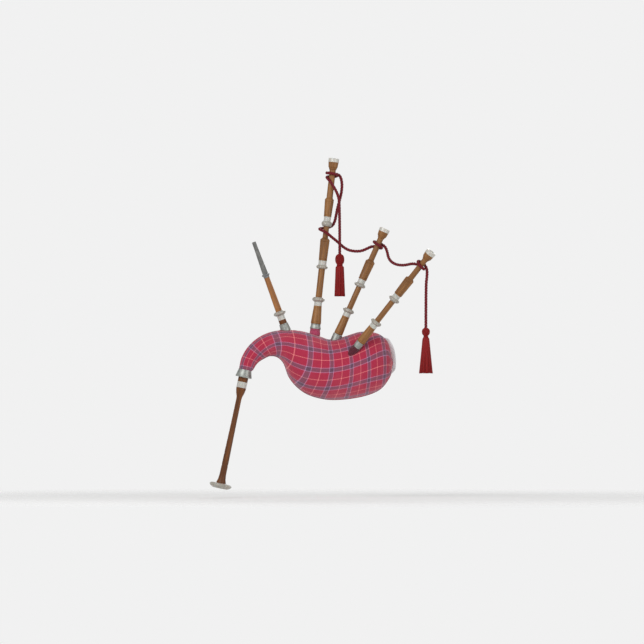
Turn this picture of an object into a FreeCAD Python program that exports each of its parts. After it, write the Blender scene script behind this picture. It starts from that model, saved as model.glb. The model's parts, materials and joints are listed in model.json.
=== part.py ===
import FreeCAD
import Part

import math
import os

# Bagpipes of the Great Highland form, in millimetres, +Z up.
# The origin is the lowest point of the bag, on its mid-plane. The bag's neck and the player's
# face point to -X, the drones lean back to +X, and the outer side of the bag is at -Y.

Vector = FreeCAD.Vector

# ---- driving dimensions -------------------------------------------------------------------

# The bag, from its neck to its rear. Each station is a slice across it: the top and bottom
# points of the side view, then the half width.
BAG_STATIONS = [
    ((-353, 105), (-304, 95), 25),
    ((-350, 120), (-301, 110), 25),
    ((-341, 159), (-285, 139), 29),
    ((-317, 200), (-263, 155), 33),
    ((-278, 235), (-236, 163), 41),
    ((-226, 257), (-206, 159), 52),
    ((-174, 262), (-181, 133), 65),
    ((-122, 257), (-158, 76), 79),
    ((-67, 245), (-104, 26), 90),
    ((-11, 228), (-30, 3), 96),
    ((44, 237), (44, 3), 98),
    ((107, 254), (122, 17), 92),
    ((166, 246), (174, 41), 78),
    ((200, 217), (203, 76), 55),
    ((215, 172), (216, 104), 30),
    ((221, 150), (221, 126), 11),
]
SLICE_POINTS = 16
COVER_THICKNESS = 3.2
HIDE_GAP = 4.4
HIDE_THICKNESS = 3.0
SLEEVE_THICKNESS = 1.2
TIE_THICKNESS = 1.2
BODY_CLEARANCE = 0.8
NECK_SPLIT = ((-278, 235), (-236, 163))
WELT_HALF_WIDTH = 4.0
WELT_OUTLINE = [
    (189, 233), (203, 230), (216, 214), (226, 192), (231, 168), (233, 140), (230, 114), (215, 97),
]
WELT_ROOT = [(190, 110), (170, 160), (172, 215)]

RUNNING_GAP = 0.05
SEAT_GAP = 0.3
HEMP_DEPTH = 0.8
STOCK_LENGTH = 100.0
TENON_LENGTH = 34.0
SOCKET_DEPTH = 42.0
DRONE_BORE = 4.0
REED_RADIUS = 4.0
CAP_BORE = 9.0
BELL_CHAMBER = 13.0

# Each drone: its stock's mouth, its lean back, its lean out to -Y, then radii and heights
# above the stock's mouth. A section is (start, ferrule start, ferrule end, mount end).
BASS = {
    "name": "bass",
    "mouth": (-63.6, 12.0, 283.0),
    "lean": 6.25,
    "outward": -3.0,
    "stock_r": 15.5,
    "collar": (-38.0, -18.5, 18.5),
    "ferrule": (-18.5, 20.3, 17.6),
    "tenon_r": 11.0,
    "reed_length": 62.0,
    "body_r": (19.0, 14.6),
    "ferrule_r": 14.8,
    "body_end": 67.0,
    "ferrule_end": 83.0,
    "mount_r": 23.0,
    "mount_end": 100.0,
    "pin_r": 12.0,
}
BASS_MIDDLE = {
    "start": 206.0,
    "mount_end": 219.0,
    "ferrule_end": 236.0,
    "shoulder": 321.0,
    "mount_r": 21.3,
    "ferrule_r": 15.2,
    "body_r": (15.2, 17.6),
    "pin_r": 10.2,
}
BASS_TOP = {
    "start": 364.0,
    "mount_end": 383.0,
    "ferrule_end": 400.0,
    "shoulder": 471.0,
    "bell_start": 575.0,
    "cap_start": 603.0,
    "cap_end": 618.0,
    "mount_r": 19.4,
    "ferrule_r": 13.4,
    "body_r": (14.0, 16.7),
    "neck_r": 11.6,
    "cap_r": 19.4,
}
TENORS = [
    {
        "name": "inner_tenor",
        "mouth": (18.5, -12.0, 245.0),
        "lean": 24.0,
        "outward": 0.0,
        "stock_r": 14.0,
        "collar": None,
        "ferrule": (-30.0, 17.6, 17.6),
    },
    {
        "name": "outer_tenor",
        "mouth": (102.0, -88.0, 216.0),
        "lean": 38.0,
        "outward": 13.0,
        "stock_r": 12.0,
        "collar": (-58.0, -24.0, 15.0),
        "ferrule": (-24.0, 15.0, 15.0),
    },
]
TENOR_SIZES = {
    "tenon_r": 8.8,
    "reed_length": 52.0,
    "body_r": (16.2, 13.6),
    "ferrule_r": 14.0,
    "body_end": 72.0,
    "ferrule_end": 88.0,
    "mount_r": 21.3,
    "mount_end": 104.0,
    "pin_r": 10.5,
}
TENOR_TOP = {
    "start": 192.0,
    "mount_end": 206.0,
    "ferrule_end": 222.0,
    "shoulder": 301.0,
    "bell_start": 388.0,
    "cap_start": 414.0,
    "cap_end": 428.0,
    "mount_r": 21.3,
    "ferrule_r": 14.0,
    "body_r": (15.4, 17.6),
    "neck_r": 10.5,
    "cap_r": 19.4,
}

# How much further out its tuning pin the outer tenor's top section stands than the inner one's.
OUTER_TENOR_TUNING = 7.0

# The chanter hangs from the neck; its heights run down from the end of the neck.
CHANTER_TOP = (-325.0, 0.0, 115.0)
CHANTER_LEAN = 12.0
CHANTER_STOCK_INNER = -40.0
CHANTER_COLLAR_END = 30.0
CHANTER_WOOD_END = 47.0
CHANTER_MOUTH = 69.0
CHANTER_TENON = 30.0
CHANTER_TENON_R = 10.5
CHANTER_STOCK_R = 15.6
CHANTER_FERRULE_SEAT = 16.8
CHANTER_FERRULE_R = 18.8
CHANTER_END = 430.0
SOLE_RADIUS = 42.0
FINGER_HOLES = [(150, 3.0), (178, 3.0), (206, 3.1), (234, 3.2), (262, 3.3), (290, 3.5), (318, 3.6)]
THUMB_HOLE = (136, 3.0)
SOUND_HOLE = (362, 4.5)

# The blowpipe leans forward to the player's mouth; its heights run up from the bag's skin.
BLOWPIPE_BASE = (-175.0, 0.0, 261.5)
BLOWPIPE_LEAN = -20.0
BLOWPIPE_STOCK_INNER = -75.0
BLOWPIPE_MOUTH = 57.0
BLOWPIPE_STOCK_R = 14.0
BLOWPIPE_TENON_R = 10.5
BLOWPIPE_BORE = 5.5
BLOWPIPE_HOLE_R = 21.5
BLOWSTICK_END = 220.0
MOUTHPIECE_END = 346.0

# The cord, from the near tassel to the far one.
CORD_RADIUS = 5.25
CORD_HANG_NEAR = [(25, 12, 544), (25, 12, 728), (19, 14, 760), (7, 17, 784)]
CORD_BASS_NECK = [
    (-8, 19, 809), (-20, 28, 822), (-24, 46, 828), (-10, 61, 830), (8, 58, 829), (18, 41, 833),
    (10, 23, 838), (-11, 20, 842), (-25, 37, 843), (-19, 57, 843), (-1, 65, 841), (18, 53, 838),
]
CORD_BASS_SIDE = [
    (28, 44, 830), (34, 45, 804), (32, 48, 773), (25, 48, 743),
    (17, 47, 714), (12, 46, 688), (7, 45, 663),
]
CORD_BASS_LOOP = [
    (-3, 50, 645), (-22, 59, 640), (-45, 50, 637), (-51, 28, 635),
    (-41, 9, 630), (-22, 3, 620), (-3, 7, 603),
]
CORD_FIRST_SPAN = [
    (19, 22, 586), (39, 26, 567), (59, 20, 556), (82, 11, 552),
    (105, 4, 553), (124, 1, 561), (140, 4, 569),
]
CORD_INNER_TENOR = [
    (154, 7, 571), (170, 6, 565), (181, -9, 563), (178, -26, 568), (163, -31, 578), (151, -20, 587),
    (153, -2, 588), (167, 8, 583), (183, 1, 577),
]
CORD_SECOND_SPAN = [
    (194, -9, 568), (201, -22, 550), (204, -39, 531), (213, -58, 515), (230, -79, 504), (250, -102, 500),
    (270, -123, 501), (290, -142, 506),
]
CORD_OUTER_TENOR = [
    (309, -154, 504), (325, -151, 493), (336, -164, 485), (333, -182, 486), (321, -191, 496),
    (312, -183, 510), (314, -166, 516), (326, -154, 511), (340, -158, 499),
]
CORD_HANG_FAR = [(347, -167, 483), (346, -171, 455), (342, -172, 428), (342, -172, 270)]
CORD_ROUTE = [
    *CORD_HANG_NEAR,
    *CORD_BASS_NECK,
    *CORD_BASS_SIDE,
    *CORD_BASS_LOOP,
    *CORD_FIRST_SPAN,
    *CORD_INNER_TENOR,
    *CORD_SECOND_SPAN,
    *CORD_OUTER_TENOR,
    *CORD_HANG_FAR,
]


# ---- shape helpers ------------------------------------------------------------------------

# Half the angle of a corner that is too nearly straight to be rounded.
STRAIGHT = math.radians(89.5)


def rounded_wire(corners):
    """A closed wire in the XZ plane; a corner is (x, z) or (x, z, rounding radius)."""
    points = [Vector(corner[0], 0, corner[1]) for corner in corners]
    ends = []
    for i, corner in enumerate(corners):
        here = points[i]
        back = (points[i - 1] - here).normalize()
        ahead = (points[(i + 1) % len(points)] - here).normalize()
        half = back.getAngle(ahead) / 2
        if len(corner) == 2 or half > STRAIGHT:
            ends.append((here, None, here))
            continue
        cut = corner[2] / math.tan(half)
        inward = (back + ahead).normalize()
        middle = here + inward * (corner[2] / math.sin(half) - corner[2])
        ends.append((here + back * cut, middle, here + ahead * cut))
    edges = []
    for i, (first, middle, last) in enumerate(ends):
        if middle is not None:
            edges.append(Part.Arc(first, middle, last).toShape())
        following = ends[(i + 1) % len(ends)][0]
        if (following - last).Length > 1e-6:
            edges.append(Part.LineSegment(last, following).toShape())
    return Part.Wire(edges)


def turned(corners):
    """A turned solid about +Z from the (radius, height) corners of its half section."""
    face = Part.Face(rounded_wire(corners))
    return face.revolve(Vector(0, 0, 0), Vector(0, 0, 1), 360)


def tube(inner, outer, low, high, rounding=0.0):
    """A turned ring, with its outer edges rounded."""
    edge = (rounding,) if rounding else ()
    return turned([(inner, low), (outer, low, *edge), (outer, high, *edge), (inner, high)])


def direction(lean, outward=0.0):
    """The way a pipe points: leaning back to +X and out to -Y, in degrees."""
    a = math.radians(lean)
    b = math.radians(outward)
    return Vector(math.cos(b) * math.sin(a), -math.sin(b), math.cos(b) * math.cos(a))


def placed(shape, base, way):
    """The shape, with its +Z turned to point along way and its origin at base."""
    moved = shape.copy()
    moved.Placement = FreeCAD.Placement(Vector(*base), FreeCAD.Rotation(Vector(0, 0, 1), way))
    return moved


def rod(radius, low, high, base, way):
    """A plain cylinder between two heights on a pipe's axis, used to cut holes."""
    return placed(Part.makeCylinder(radius, high - low, Vector(0, 0, low)), base, way)


def projecting_mount(inner, outer, low, high):
    """A mount: a ring with a blunt edge, proud of the wood on both sides."""
    middle = (low + high) / 2
    edge = (high - low) / 6
    face = inner + (outer - inner) * 0.45
    return turned(
        [
            (inner, low),
            (face, low, 1.0),
            (outer, middle - edge, 1.2),
            (outer, middle + edge, 1.2),
            (face, high, 1.0),
            (inner, high),
        ]
    )


def turned_line(radius, height):
    """Three corners that cut a fine line into a turned outline."""
    return [(radius, height - 0.7), (radius - 0.7, height), (radius, height + 0.7)]


def save(name, *solids):
    """Writes one node's solids as one STEP file."""
    shape = solids[0] if len(solids) == 1 else Part.makeCompound(list(solids))
    shape.exportStep(f"parts/{name}.step")


# ---- the bag ------------------------------------------------------------------------------


def inset_stations(depth):
    """The bag's stations, moved inward by depth in the side view and across."""
    moved = []
    for i, (top, bottom, half_width) in enumerate(BAG_STATIONS):
        before = BAG_STATIONS[max(i - 1, 0)]
        after = BAG_STATIONS[min(i + 1, len(BAG_STATIONS) - 1)]
        ends = []
        for side, other in ((0, bottom), (1, top)):
            here = BAG_STATIONS[i][side]
            along = (after[side][0] - before[side][0], after[side][1] - before[side][1])
            size = math.hypot(*along)
            normal = (-along[1] / size, along[0] / size)
            inward = (other[0] - here[0]) * normal[0] + (other[1] - here[1]) * normal[1]
            sign = 1 if inward > 0 else -1
            ends.append((here[0] + sign * depth * normal[0], here[1] + sign * depth * normal[1]))
        moved.append((ends[0], ends[1], half_width - depth))
    return moved


def bag_solid(depth):
    """The bag's form, inset by depth, as one solid; its surface meets itself along the underside."""
    rows = []
    for top, bottom, half_width in inset_stations(depth):
        centre = Vector((top[0] + bottom[0]) / 2, 0, (top[1] + bottom[1]) / 2)
        down = Vector(bottom[0], 0, bottom[1]) - centre
        angles = [2 * math.pi * k / SLICE_POINTS for k in range(SLICE_POINTS + 1)]
        rows.append([centre + down * math.cos(a) + Vector(0, half_width * math.sin(a), 0) for a in angles])
    surface = Part.BSplineSurface()
    surface.interpolate(rows)
    first, last, _, _ = surface.bounds()
    ends = [Part.Face(Part.Wire([surface.uIso(at).toShape()])) for at in (first, last)]
    return Part.Solid(Part.Shell([surface.toShape(), *ends]))


def half_space(point, way):
    """A large box on the side of a plane through point that way points to."""
    size = 900
    box = Part.makeBox(size, size, size, Vector(-size / 2, -size / 2, 0))
    return placed(box, (point[0], 0, point[1]), way)


def neck_side():
    """The space beyond the slice where the bag's neck starts to bend."""
    top, bottom = NECK_SPLIT
    across = Vector(bottom[0] - top[0], 0, bottom[1] - top[1])
    way = Vector(across.z, 0, -across.x).normalize()
    centre = ((top[0] + bottom[0]) / 2, (top[1] + bottom[1]) / 2)
    return half_space(centre, way)


def beyond_neck():
    """The space past the end of the neck, where the chanter stock comes out."""
    return half_space((CHANTER_TOP[0], CHANTER_TOP[2]), chanter_way())


def drones():
    """The bass and the two tenors, each with its own place and the sizes it shares."""
    return [BASS] + [{**TENOR_SIZES, **tenor} for tenor in TENORS]


def axis_of(drone):
    return Vector(*drone["mouth"]), direction(drone["lean"], drone["outward"])


def chanter_way():
    return direction(180 + CHANTER_LEAN)


def build_bag():
    outer = bag_solid(0)
    hide_outer = bag_solid(HIDE_GAP)
    cover = outer.cut(bag_solid(COVER_THICKNESS))
    hide = hide_outer.cut(bag_solid(HIDE_GAP + HIDE_THICKNESS))
    collars = []
    ties = []
    ferrules = []
    cuts = [rod(BLOWPIPE_HOLE_R, -30, 40, BLOWPIPE_BASE, direction(BLOWPIPE_LEAN))]
    for drone in drones():
        base, way = axis_of(drone)
        stock_r = drone["stock_r"]
        low, low_r, high_r = drone["ferrule"]
        ferrules.append(placed(drone_stock_ferrule(stock_r, low, low_r, high_r), base, way))
        cuts += [ferrules[-1], rod(stock_r, -STOCK_LENGTH - 20, 1, base, way)]
        cuts.append(rod(drone["body_r"][0] + BODY_CLEARANCE, 0, 60, base, way))
        foot, foot_r = low, low_r
        if drone["collar"]:
            foot, collar_top, foot_r = drone["collar"]
            collars.append(placed(tube(stock_r, foot_r, foot, collar_top, 0.8), base, way))
            cuts.append(collars[-1])
        sleeve_r = foot_r + SLEEVE_THICKNESS
        tie_top = foot - 16
        sleeve = rod(sleeve_r, tie_top - 12, foot + 12, base, way).common(hide_outer)
        hide = hide.fuse(sleeve)
        ties.append(placed(turned_binding(sleeve_r, tie_top - 7, tie_top), base, way))
        cuts.append(ties[-1])
    for cut in cuts:
        cover = cover.cut(cut)
        hide = hide.cut(cut)
    neck = neck_side()
    end = beyond_neck()
    save("bag_cover", cover.cut(neck))
    save("bag_hide", hide.cut(neck))
    save("neck_cover", cover.common(neck).cut(end))
    neck_hide = hide.common(neck).cut(end)
    for piece in (chanter_stock(), chanter_stock_tie()):
        neck_hide = neck_hide.cut(placed(piece, CHANTER_TOP, chanter_way()))
    save("neck_hide", neck_hide)
    save("cover_collars", *collars)
    save("drone_stock_ties", *ties)
    save("drone_stock_ferrules", *ferrules)
    build_welt(outer)


def build_welt(outer):
    edge = Part.BSplineCurve()
    edge.interpolate([Vector(x, -WELT_HALF_WIDTH, z) for x, z in WELT_OUTLINE])
    root = [Vector(x, -WELT_HALF_WIDTH, z) for x, z in (WELT_OUTLINE[-1], *WELT_ROOT, WELT_OUTLINE[0])]
    sides = [Part.LineSegment(a, b).toShape() for a, b in zip(root, root[1:])]
    plate = Part.Face(Part.Wire([edge.toShape(), *sides])).extrude(Vector(0, 2 * WELT_HALF_WIDTH, 0))
    save("seam_welt", plate.cut(outer))


def turned_binding(radius, low, high):
    """Waxed thread bound round a sleeve: a band with a groove between each two turns."""
    turns = 4
    pitch = (high - low) / turns
    outline = [(radius, low)]
    for i in range(turns):
        outline.append((radius + TIE_THICKNESS, low + (i + 0.15) * pitch, 0.2))
        outline.append((radius + TIE_THICKNESS, low + (i + 0.85) * pitch, 0.2))
        if i < turns - 1:
            outline.append((radius + 0.6, low + (i + 1) * pitch))
    outline.append((radius, high))
    return turned(outline)


# ---- the drones ---------------------------------------------------------------------------


def drone_stock_ferrule(stock_r, low, low_r, high_r):
    return turned(
        [
            (stock_r, low),
            (low_r, low, 0.8),
            (low_r, low + 3.0, 0.6),
            ((low_r + high_r) / 2, low * 0.6),
            (high_r, -4.0, 0.5),
            (high_r + 0.4, -2.5, 0.4),
            (high_r + 0.4, 0, 0.8),
            (stock_r, 0),
        ]
    )


def drone_stock(stock_r, bore):
    """A stock: a thick wooden socket, open at both ends."""
    return turned([(bore, -STOCK_LENGTH), (stock_r, -STOCK_LENGTH, 2.0), (stock_r, 0), (bore, 0)])


def lower_section(sizes, pin_end):
    """A drone's lower section: tenon, swelling body, seats for the ferrule and mount, tuning pin."""
    tenon_r = sizes["tenon_r"]
    pin_r = sizes["pin_r"]
    low_r, high_r = sizes["body_r"]
    body_end = sizes["body_end"]
    seat_r = sizes["ferrule_r"] - 1.4
    return turned(
        [
            (DRONE_BORE, -TENON_LENGTH),
            (tenon_r, -TENON_LENGTH, 1.0),
            (tenon_r, -TENON_LENGTH + 5),
            (tenon_r - HEMP_DEPTH, -TENON_LENGTH + 5),
            (tenon_r - HEMP_DEPTH, -5),
            (tenon_r, -5),
            (tenon_r, SEAT_GAP),
            (low_r - 1.5, SEAT_GAP),
            (low_r, 4.0, 2.0),
            *turned_line(low_r * 0.95 + high_r * 0.05, 9.0),
            *turned_line(low_r * 0.08 + high_r * 0.92, body_end - 6.0),
            (high_r, body_end),
            (seat_r, body_end),
            (seat_r, sizes["ferrule_end"]),
            (pin_r + 1.5, sizes["ferrule_end"]),
            (pin_r + 1.5, sizes["mount_end"] - 1.0),
            (pin_r, sizes["mount_end"] - 1.0),
            *pin_outline(pin_r, pin_end),
            (DRONE_BORE, pin_end),
        ]
    )


def pin_outline(pin_r, pin_end):
    """The top of a tuning pin, with a groove wound with hemp."""
    return [
        (pin_r, pin_end - 34),
        (pin_r - HEMP_DEPTH, pin_end - 34),
        (pin_r - HEMP_DEPTH, pin_end - 6),
        (pin_r, pin_end - 6),
        (pin_r, pin_end, 1.2),
    ]


def hemp_on_pin(pin_r, pin_end):
    return tube(pin_r - HEMP_DEPTH, pin_r, pin_end - 34, pin_end - 6)


def section_mounts(sizes, lowest_first):
    """The projecting mount and the ferrule of one section, as two solids."""
    ferrule_r = sizes["ferrule_r"]
    if lowest_first:
        mount_inner = sizes["pin_r"] + 1.5
        mount_top = sizes["mount_end"] - 1.0
        return [
            ferrule_band(ferrule_r - 1.4, ferrule_r, sizes["body_end"], sizes["ferrule_end"]),
            projecting_mount(mount_inner, sizes["mount_r"], sizes["ferrule_end"], mount_top),
        ]
    seat_r = ferrule_r - 1.4
    return [
        projecting_mount(seat_r, sizes["mount_r"], sizes["start"], sizes["mount_end"]),
        ferrule_band(seat_r, ferrule_r, sizes["mount_end"], sizes["ferrule_end"]),
    ]


def ferrule_band(inner, outer, low, high):
    """A ferrule: a thin band with a bead at each end."""
    return turned(
        [
            (inner, low),
            (outer, low, 0.4),
            (outer, low + 2.2, 0.4),
            (outer - 0.5, low + 2.8),
            (outer - 0.5, high - 2.8),
            (outer, high - 2.2, 0.4),
            (outer, high, 0.4),
            (inner, high),
        ]
    )


def upper_foot(sizes, pin_r):
    """The corners of an upper section from its socket's mouth to its shoulder."""
    seat_r = sizes["ferrule_r"] - 1.4
    low_r, high_r = sizes["body_r"]
    shoulder = sizes["shoulder"]
    return [
        (pin_r + RUNNING_GAP, sizes["start"]),
        (seat_r, sizes["start"]),
        (seat_r, sizes["ferrule_end"]),
        (low_r, sizes["ferrule_end"], 0.6),
        *turned_line(low_r * 0.92 + high_r * 0.08, sizes["ferrule_end"] + 6.0),
        *turned_line(low_r * 0.1 + high_r * 0.9, shoulder - 14.0),
        (high_r, shoulder - 7.0, 1.5),
    ]


def middle_section(sizes, pin_r, pin_end):
    """The bass drone's middle section: socket, body, and a pin of its own."""
    socket_end = sizes["start"] + SOCKET_DEPTH
    top_pin = sizes["pin_r"]
    return turned(
        [
            *upper_foot(sizes, pin_r),
            (top_pin + 1.0, sizes["shoulder"], 1.0),
            (top_pin, sizes["shoulder"] + 1.0),
            *pin_outline(top_pin, pin_end),
            (DRONE_BORE, pin_end),
            (DRONE_BORE, socket_end),
            (pin_r + RUNNING_GAP, socket_end),
        ]
    )


def top_section(sizes, pin_r):
    """A drone's top section: socket, body, neck for the cord, and a bell with its chamber."""
    socket_end = sizes["start"] + SOCKET_DEPTH
    neck_r = sizes["neck_r"]
    bell = sizes["bell_start"]
    cap = sizes["cap_start"]
    cap_r = sizes["cap_r"]
    return turned(
        [
            *upper_foot(sizes, pin_r),
            (neck_r, sizes["shoulder"], 1.5),
            (neck_r, bell, 1.0),
            (neck_r + 2.0, bell + 1.5, 1.0),
            (neck_r + 2.4, bell + 4.5, 0.8),
            (cap_r - 2.4, bell + 11.0, 4.0),
            (cap_r - 0.6, cap),
            (BELL_CHAMBER, cap),
            (BELL_CHAMBER, cap - 16.0, 3.0),
            (DRONE_BORE + 2.0, cap - 24.0),
            (DRONE_BORE + 2.0, socket_end),
            (pin_r + RUNNING_GAP, socket_end),
        ]
    )


def ring_cap(sizes):
    """The pale ring that caps a bell, with the hole that a stopper seals."""
    cap_r = sizes["cap_r"]
    low = sizes["cap_start"]
    high = sizes["cap_end"]
    return turned(
        [
            (CAP_BORE, low),
            (cap_r, low, 1.2),
            (cap_r, high, 2.5),
            (CAP_BORE + 3.0, high, 0.8),
            (CAP_BORE + 2.0, high - 2.0),
            (CAP_BORE, high - 2.0),
        ]
    )


def reed(length):
    """A drone reed: a tube with a flat for the tongue, and the bridle ring that holds it."""
    top = -TENON_LENGTH + 8.0
    low = top - length
    body = turned(
        [
            (1.8, low + 3),
            (1.8, top),
            (REED_RADIUS, top),
            (REED_RADIUS, low, 0.8),
            (0, low),
            (0, low + 3),
        ]
    )
    flat = Part.makeBox(20, 20, length - 20, Vector(REED_RADIUS - 1.2, -10, low + 5))
    slot = Part.makeBox(20, 1.6, length - 32, Vector(0, -0.8, low + 10))
    body = body.cut(flat).cut(slot)
    bridle = tube(REED_RADIUS, REED_RADIUS + 0.9, top - 14.0, top - 11.0, 0.3)
    return [body, bridle]


def reed_tongue(length):
    """The thin tongue that beats over the reed's slot, from its root under the bridle."""
    low = -TENON_LENGTH + 8.0 - length + 7.0
    return Part.makeBox(0.6, 4.0, length - 24.0, Vector(REED_RADIUS - 0.4, -2.0, low))


def raised(sizes, distance):
    """The sizes of a section that stands further out on its pin; radii stay as they are."""
    return {key: size if key.endswith("_r") else size + distance for key, size in sizes.items()}


def build_drone(drone, middle, top):
    base, way = axis_of(drone)
    name = drone["name"]
    pin_end = (middle or top)["start"] + SOCKET_DEPTH - 10
    tenon_r = drone["tenon_r"]
    pieces = {
        "stock": [drone_stock(drone["stock_r"], tenon_r + RUNNING_GAP)],
        "lower": [lower_section(drone, pin_end)],
        "lower_mounts": section_mounts(drone, True),
        "lower_hemp": [
            tube(tenon_r - HEMP_DEPTH, tenon_r, -TENON_LENGTH + 5, -5),
            hemp_on_pin(drone["pin_r"], pin_end),
        ],
        "reed": reed(drone["reed_length"]),
        "reed_tongue": [reed_tongue(drone["reed_length"])],
        "top_mounts": section_mounts(top, False),
        "ring_cap": [ring_cap(top)],
    }
    socket_pin = drone["pin_r"]
    if middle:
        middle_end = top["start"] + SOCKET_DEPTH - 10
        pieces["middle"] = [middle_section(middle, socket_pin, middle_end)]
        pieces["middle_mounts"] = section_mounts(middle, False)
        pieces["middle_hemp"] = [hemp_on_pin(middle["pin_r"], middle_end)]
        socket_pin = middle["pin_r"]
    pieces["top"] = [top_section(top, socket_pin)]
    for part, solids in pieces.items():
        save(f"{name}_{part}", *[placed(solid, base, way) for solid in solids])


# ---- the chanter and its stock ------------------------------------------------------------


def chanter_stock():
    """The chanter's stock: narrow inside the neck, thicker under its collar and past it."""
    bore = CHANTER_TENON_R + RUNNING_GAP
    return turned(
        [
            (bore, CHANTER_STOCK_INNER),
            (CHANTER_STOCK_R, CHANTER_STOCK_INNER, 2.0),
            (CHANTER_STOCK_R, 0.5),
            (18.5, 0.5),
            (18.5, CHANTER_COLLAR_END),
            (18.2, CHANTER_WOOD_END),
            (CHANTER_FERRULE_SEAT, CHANTER_WOOD_END),
            (CHANTER_FERRULE_SEAT, CHANTER_MOUTH),
            (bore, CHANTER_MOUTH),
        ]
    )


def chanter_stock_tie():
    return turned_binding(CHANTER_STOCK_R, -22.0, -12.0)


def build_chanter():
    way = chanter_way()

    def put(name, *solids):
        save(name, *[placed(solid, CHANTER_TOP, way) for solid in solids])

    put("chanter_stock", chanter_stock())
    put("chanter_stock_tie", chanter_stock_tie())
    collar = [
        (18.5, 0.5),
        (24.0, 0.5, 1.0),
        (24.6, 5.0, 2.0),
        (28.5, CHANTER_COLLAR_END - 9, 3.0),
        (30.0, CHANTER_COLLAR_END - 5, 1.0),
        (30.0, CHANTER_COLLAR_END, 1.0),
        (18.5, CHANTER_COLLAR_END),
    ]
    put("chanter_stock_collar", turned(collar))
    ferrule = ferrule_band(CHANTER_FERRULE_SEAT, CHANTER_FERRULE_R, CHANTER_WOOD_END, CHANTER_MOUTH)
    put("chanter_stock_ferrule", ferrule)

    tenon_r = CHANTER_TENON_R
    tenon_top = CHANTER_MOUTH - CHANTER_TENON
    top = CHANTER_MOUTH + SEAT_GAP
    bore_top = 2.2
    body = turned(
        [
            (REED_RADIUS, tenon_top),
            (tenon_r, tenon_top, 1.0),
            (tenon_r, tenon_top + 5),
            (tenon_r - HEMP_DEPTH, tenon_top + 5),
            (tenon_r - HEMP_DEPTH, CHANTER_MOUTH - 5),
            (tenon_r, CHANTER_MOUTH - 5),
            (tenon_r, top),
            (18.0, top, 1.0),
            (18.0, top + 6.0, 1.5),
            (15.2, top + 20.0, 20.0),
            (10.6, top + 34.0, 6.0),
            (9.8, 112.0, 2.0),
            (10.2, 210.0),
            (11.4, 305.0),
            (12.2, 398.0, 10.0),
            (14.2, 416.0, 12.0),
            (18.5, CHANTER_END),
            (7.5, CHANTER_END),
            (bore_top, tenon_top + 14.0),
            (REED_RADIUS, tenon_top + 14.0),
        ]
    )
    holes = [(height, radius, 0) for height, radius in FINGER_HOLES]
    holes.append((*THUMB_HOLE, 180))
    holes += [(*SOUND_HOLE, 0), (*SOUND_HOLE, 180)]
    for height, radius, turn in holes:
        drill = Part.makeCylinder(radius, 20, Vector(0, 0, height), Vector(1, 0, 0))
        drill.rotate(Vector(0, 0, 0), Vector(0, 0, 1), turn)
        body = body.cut(drill)
    put("chanter_body", body)
    put("chanter_hemp", tube(tenon_r - HEMP_DEPTH, tenon_r, tenon_top + 5, CHANTER_MOUTH - 5))
    sole = [
        (7.5, CHANTER_END),
        (20.0, CHANTER_END, 2.0),
        (SOLE_RADIUS - 6, CHANTER_END + 1.5, 3.0),
        (SOLE_RADIUS, CHANTER_END + 7.5, 2.5),
        (SOLE_RADIUS - 4, CHANTER_END + 14.0, 4.0),
        (SOLE_RADIUS - 15, CHANTER_END + 20.0, 6.0),
        (7.5, CHANTER_END + 20.0),
    ]
    put("chanter_sole", turned(sole))
    reed_top = tenon_top - 24.0
    staple = tube(1.6, REED_RADIUS - 1.2, reed_top + 20.0, tenon_top + 12.0)
    winding = tube(REED_RADIUS - 1.2, REED_RADIUS, tenon_top - 2.0, tenon_top + 12.0)
    blade = Part.makeBox(9.0, 1.2, 22.0, Vector(-4.5, 0.1, reed_top - 4.0))
    other = Part.makeBox(9.0, 1.2, 22.0, Vector(-4.5, -1.3, reed_top - 4.0))
    put("chanter_reed", staple, winding, blade, other)


# ---- the blowpipe and its stock -----------------------------------------------------------


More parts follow.
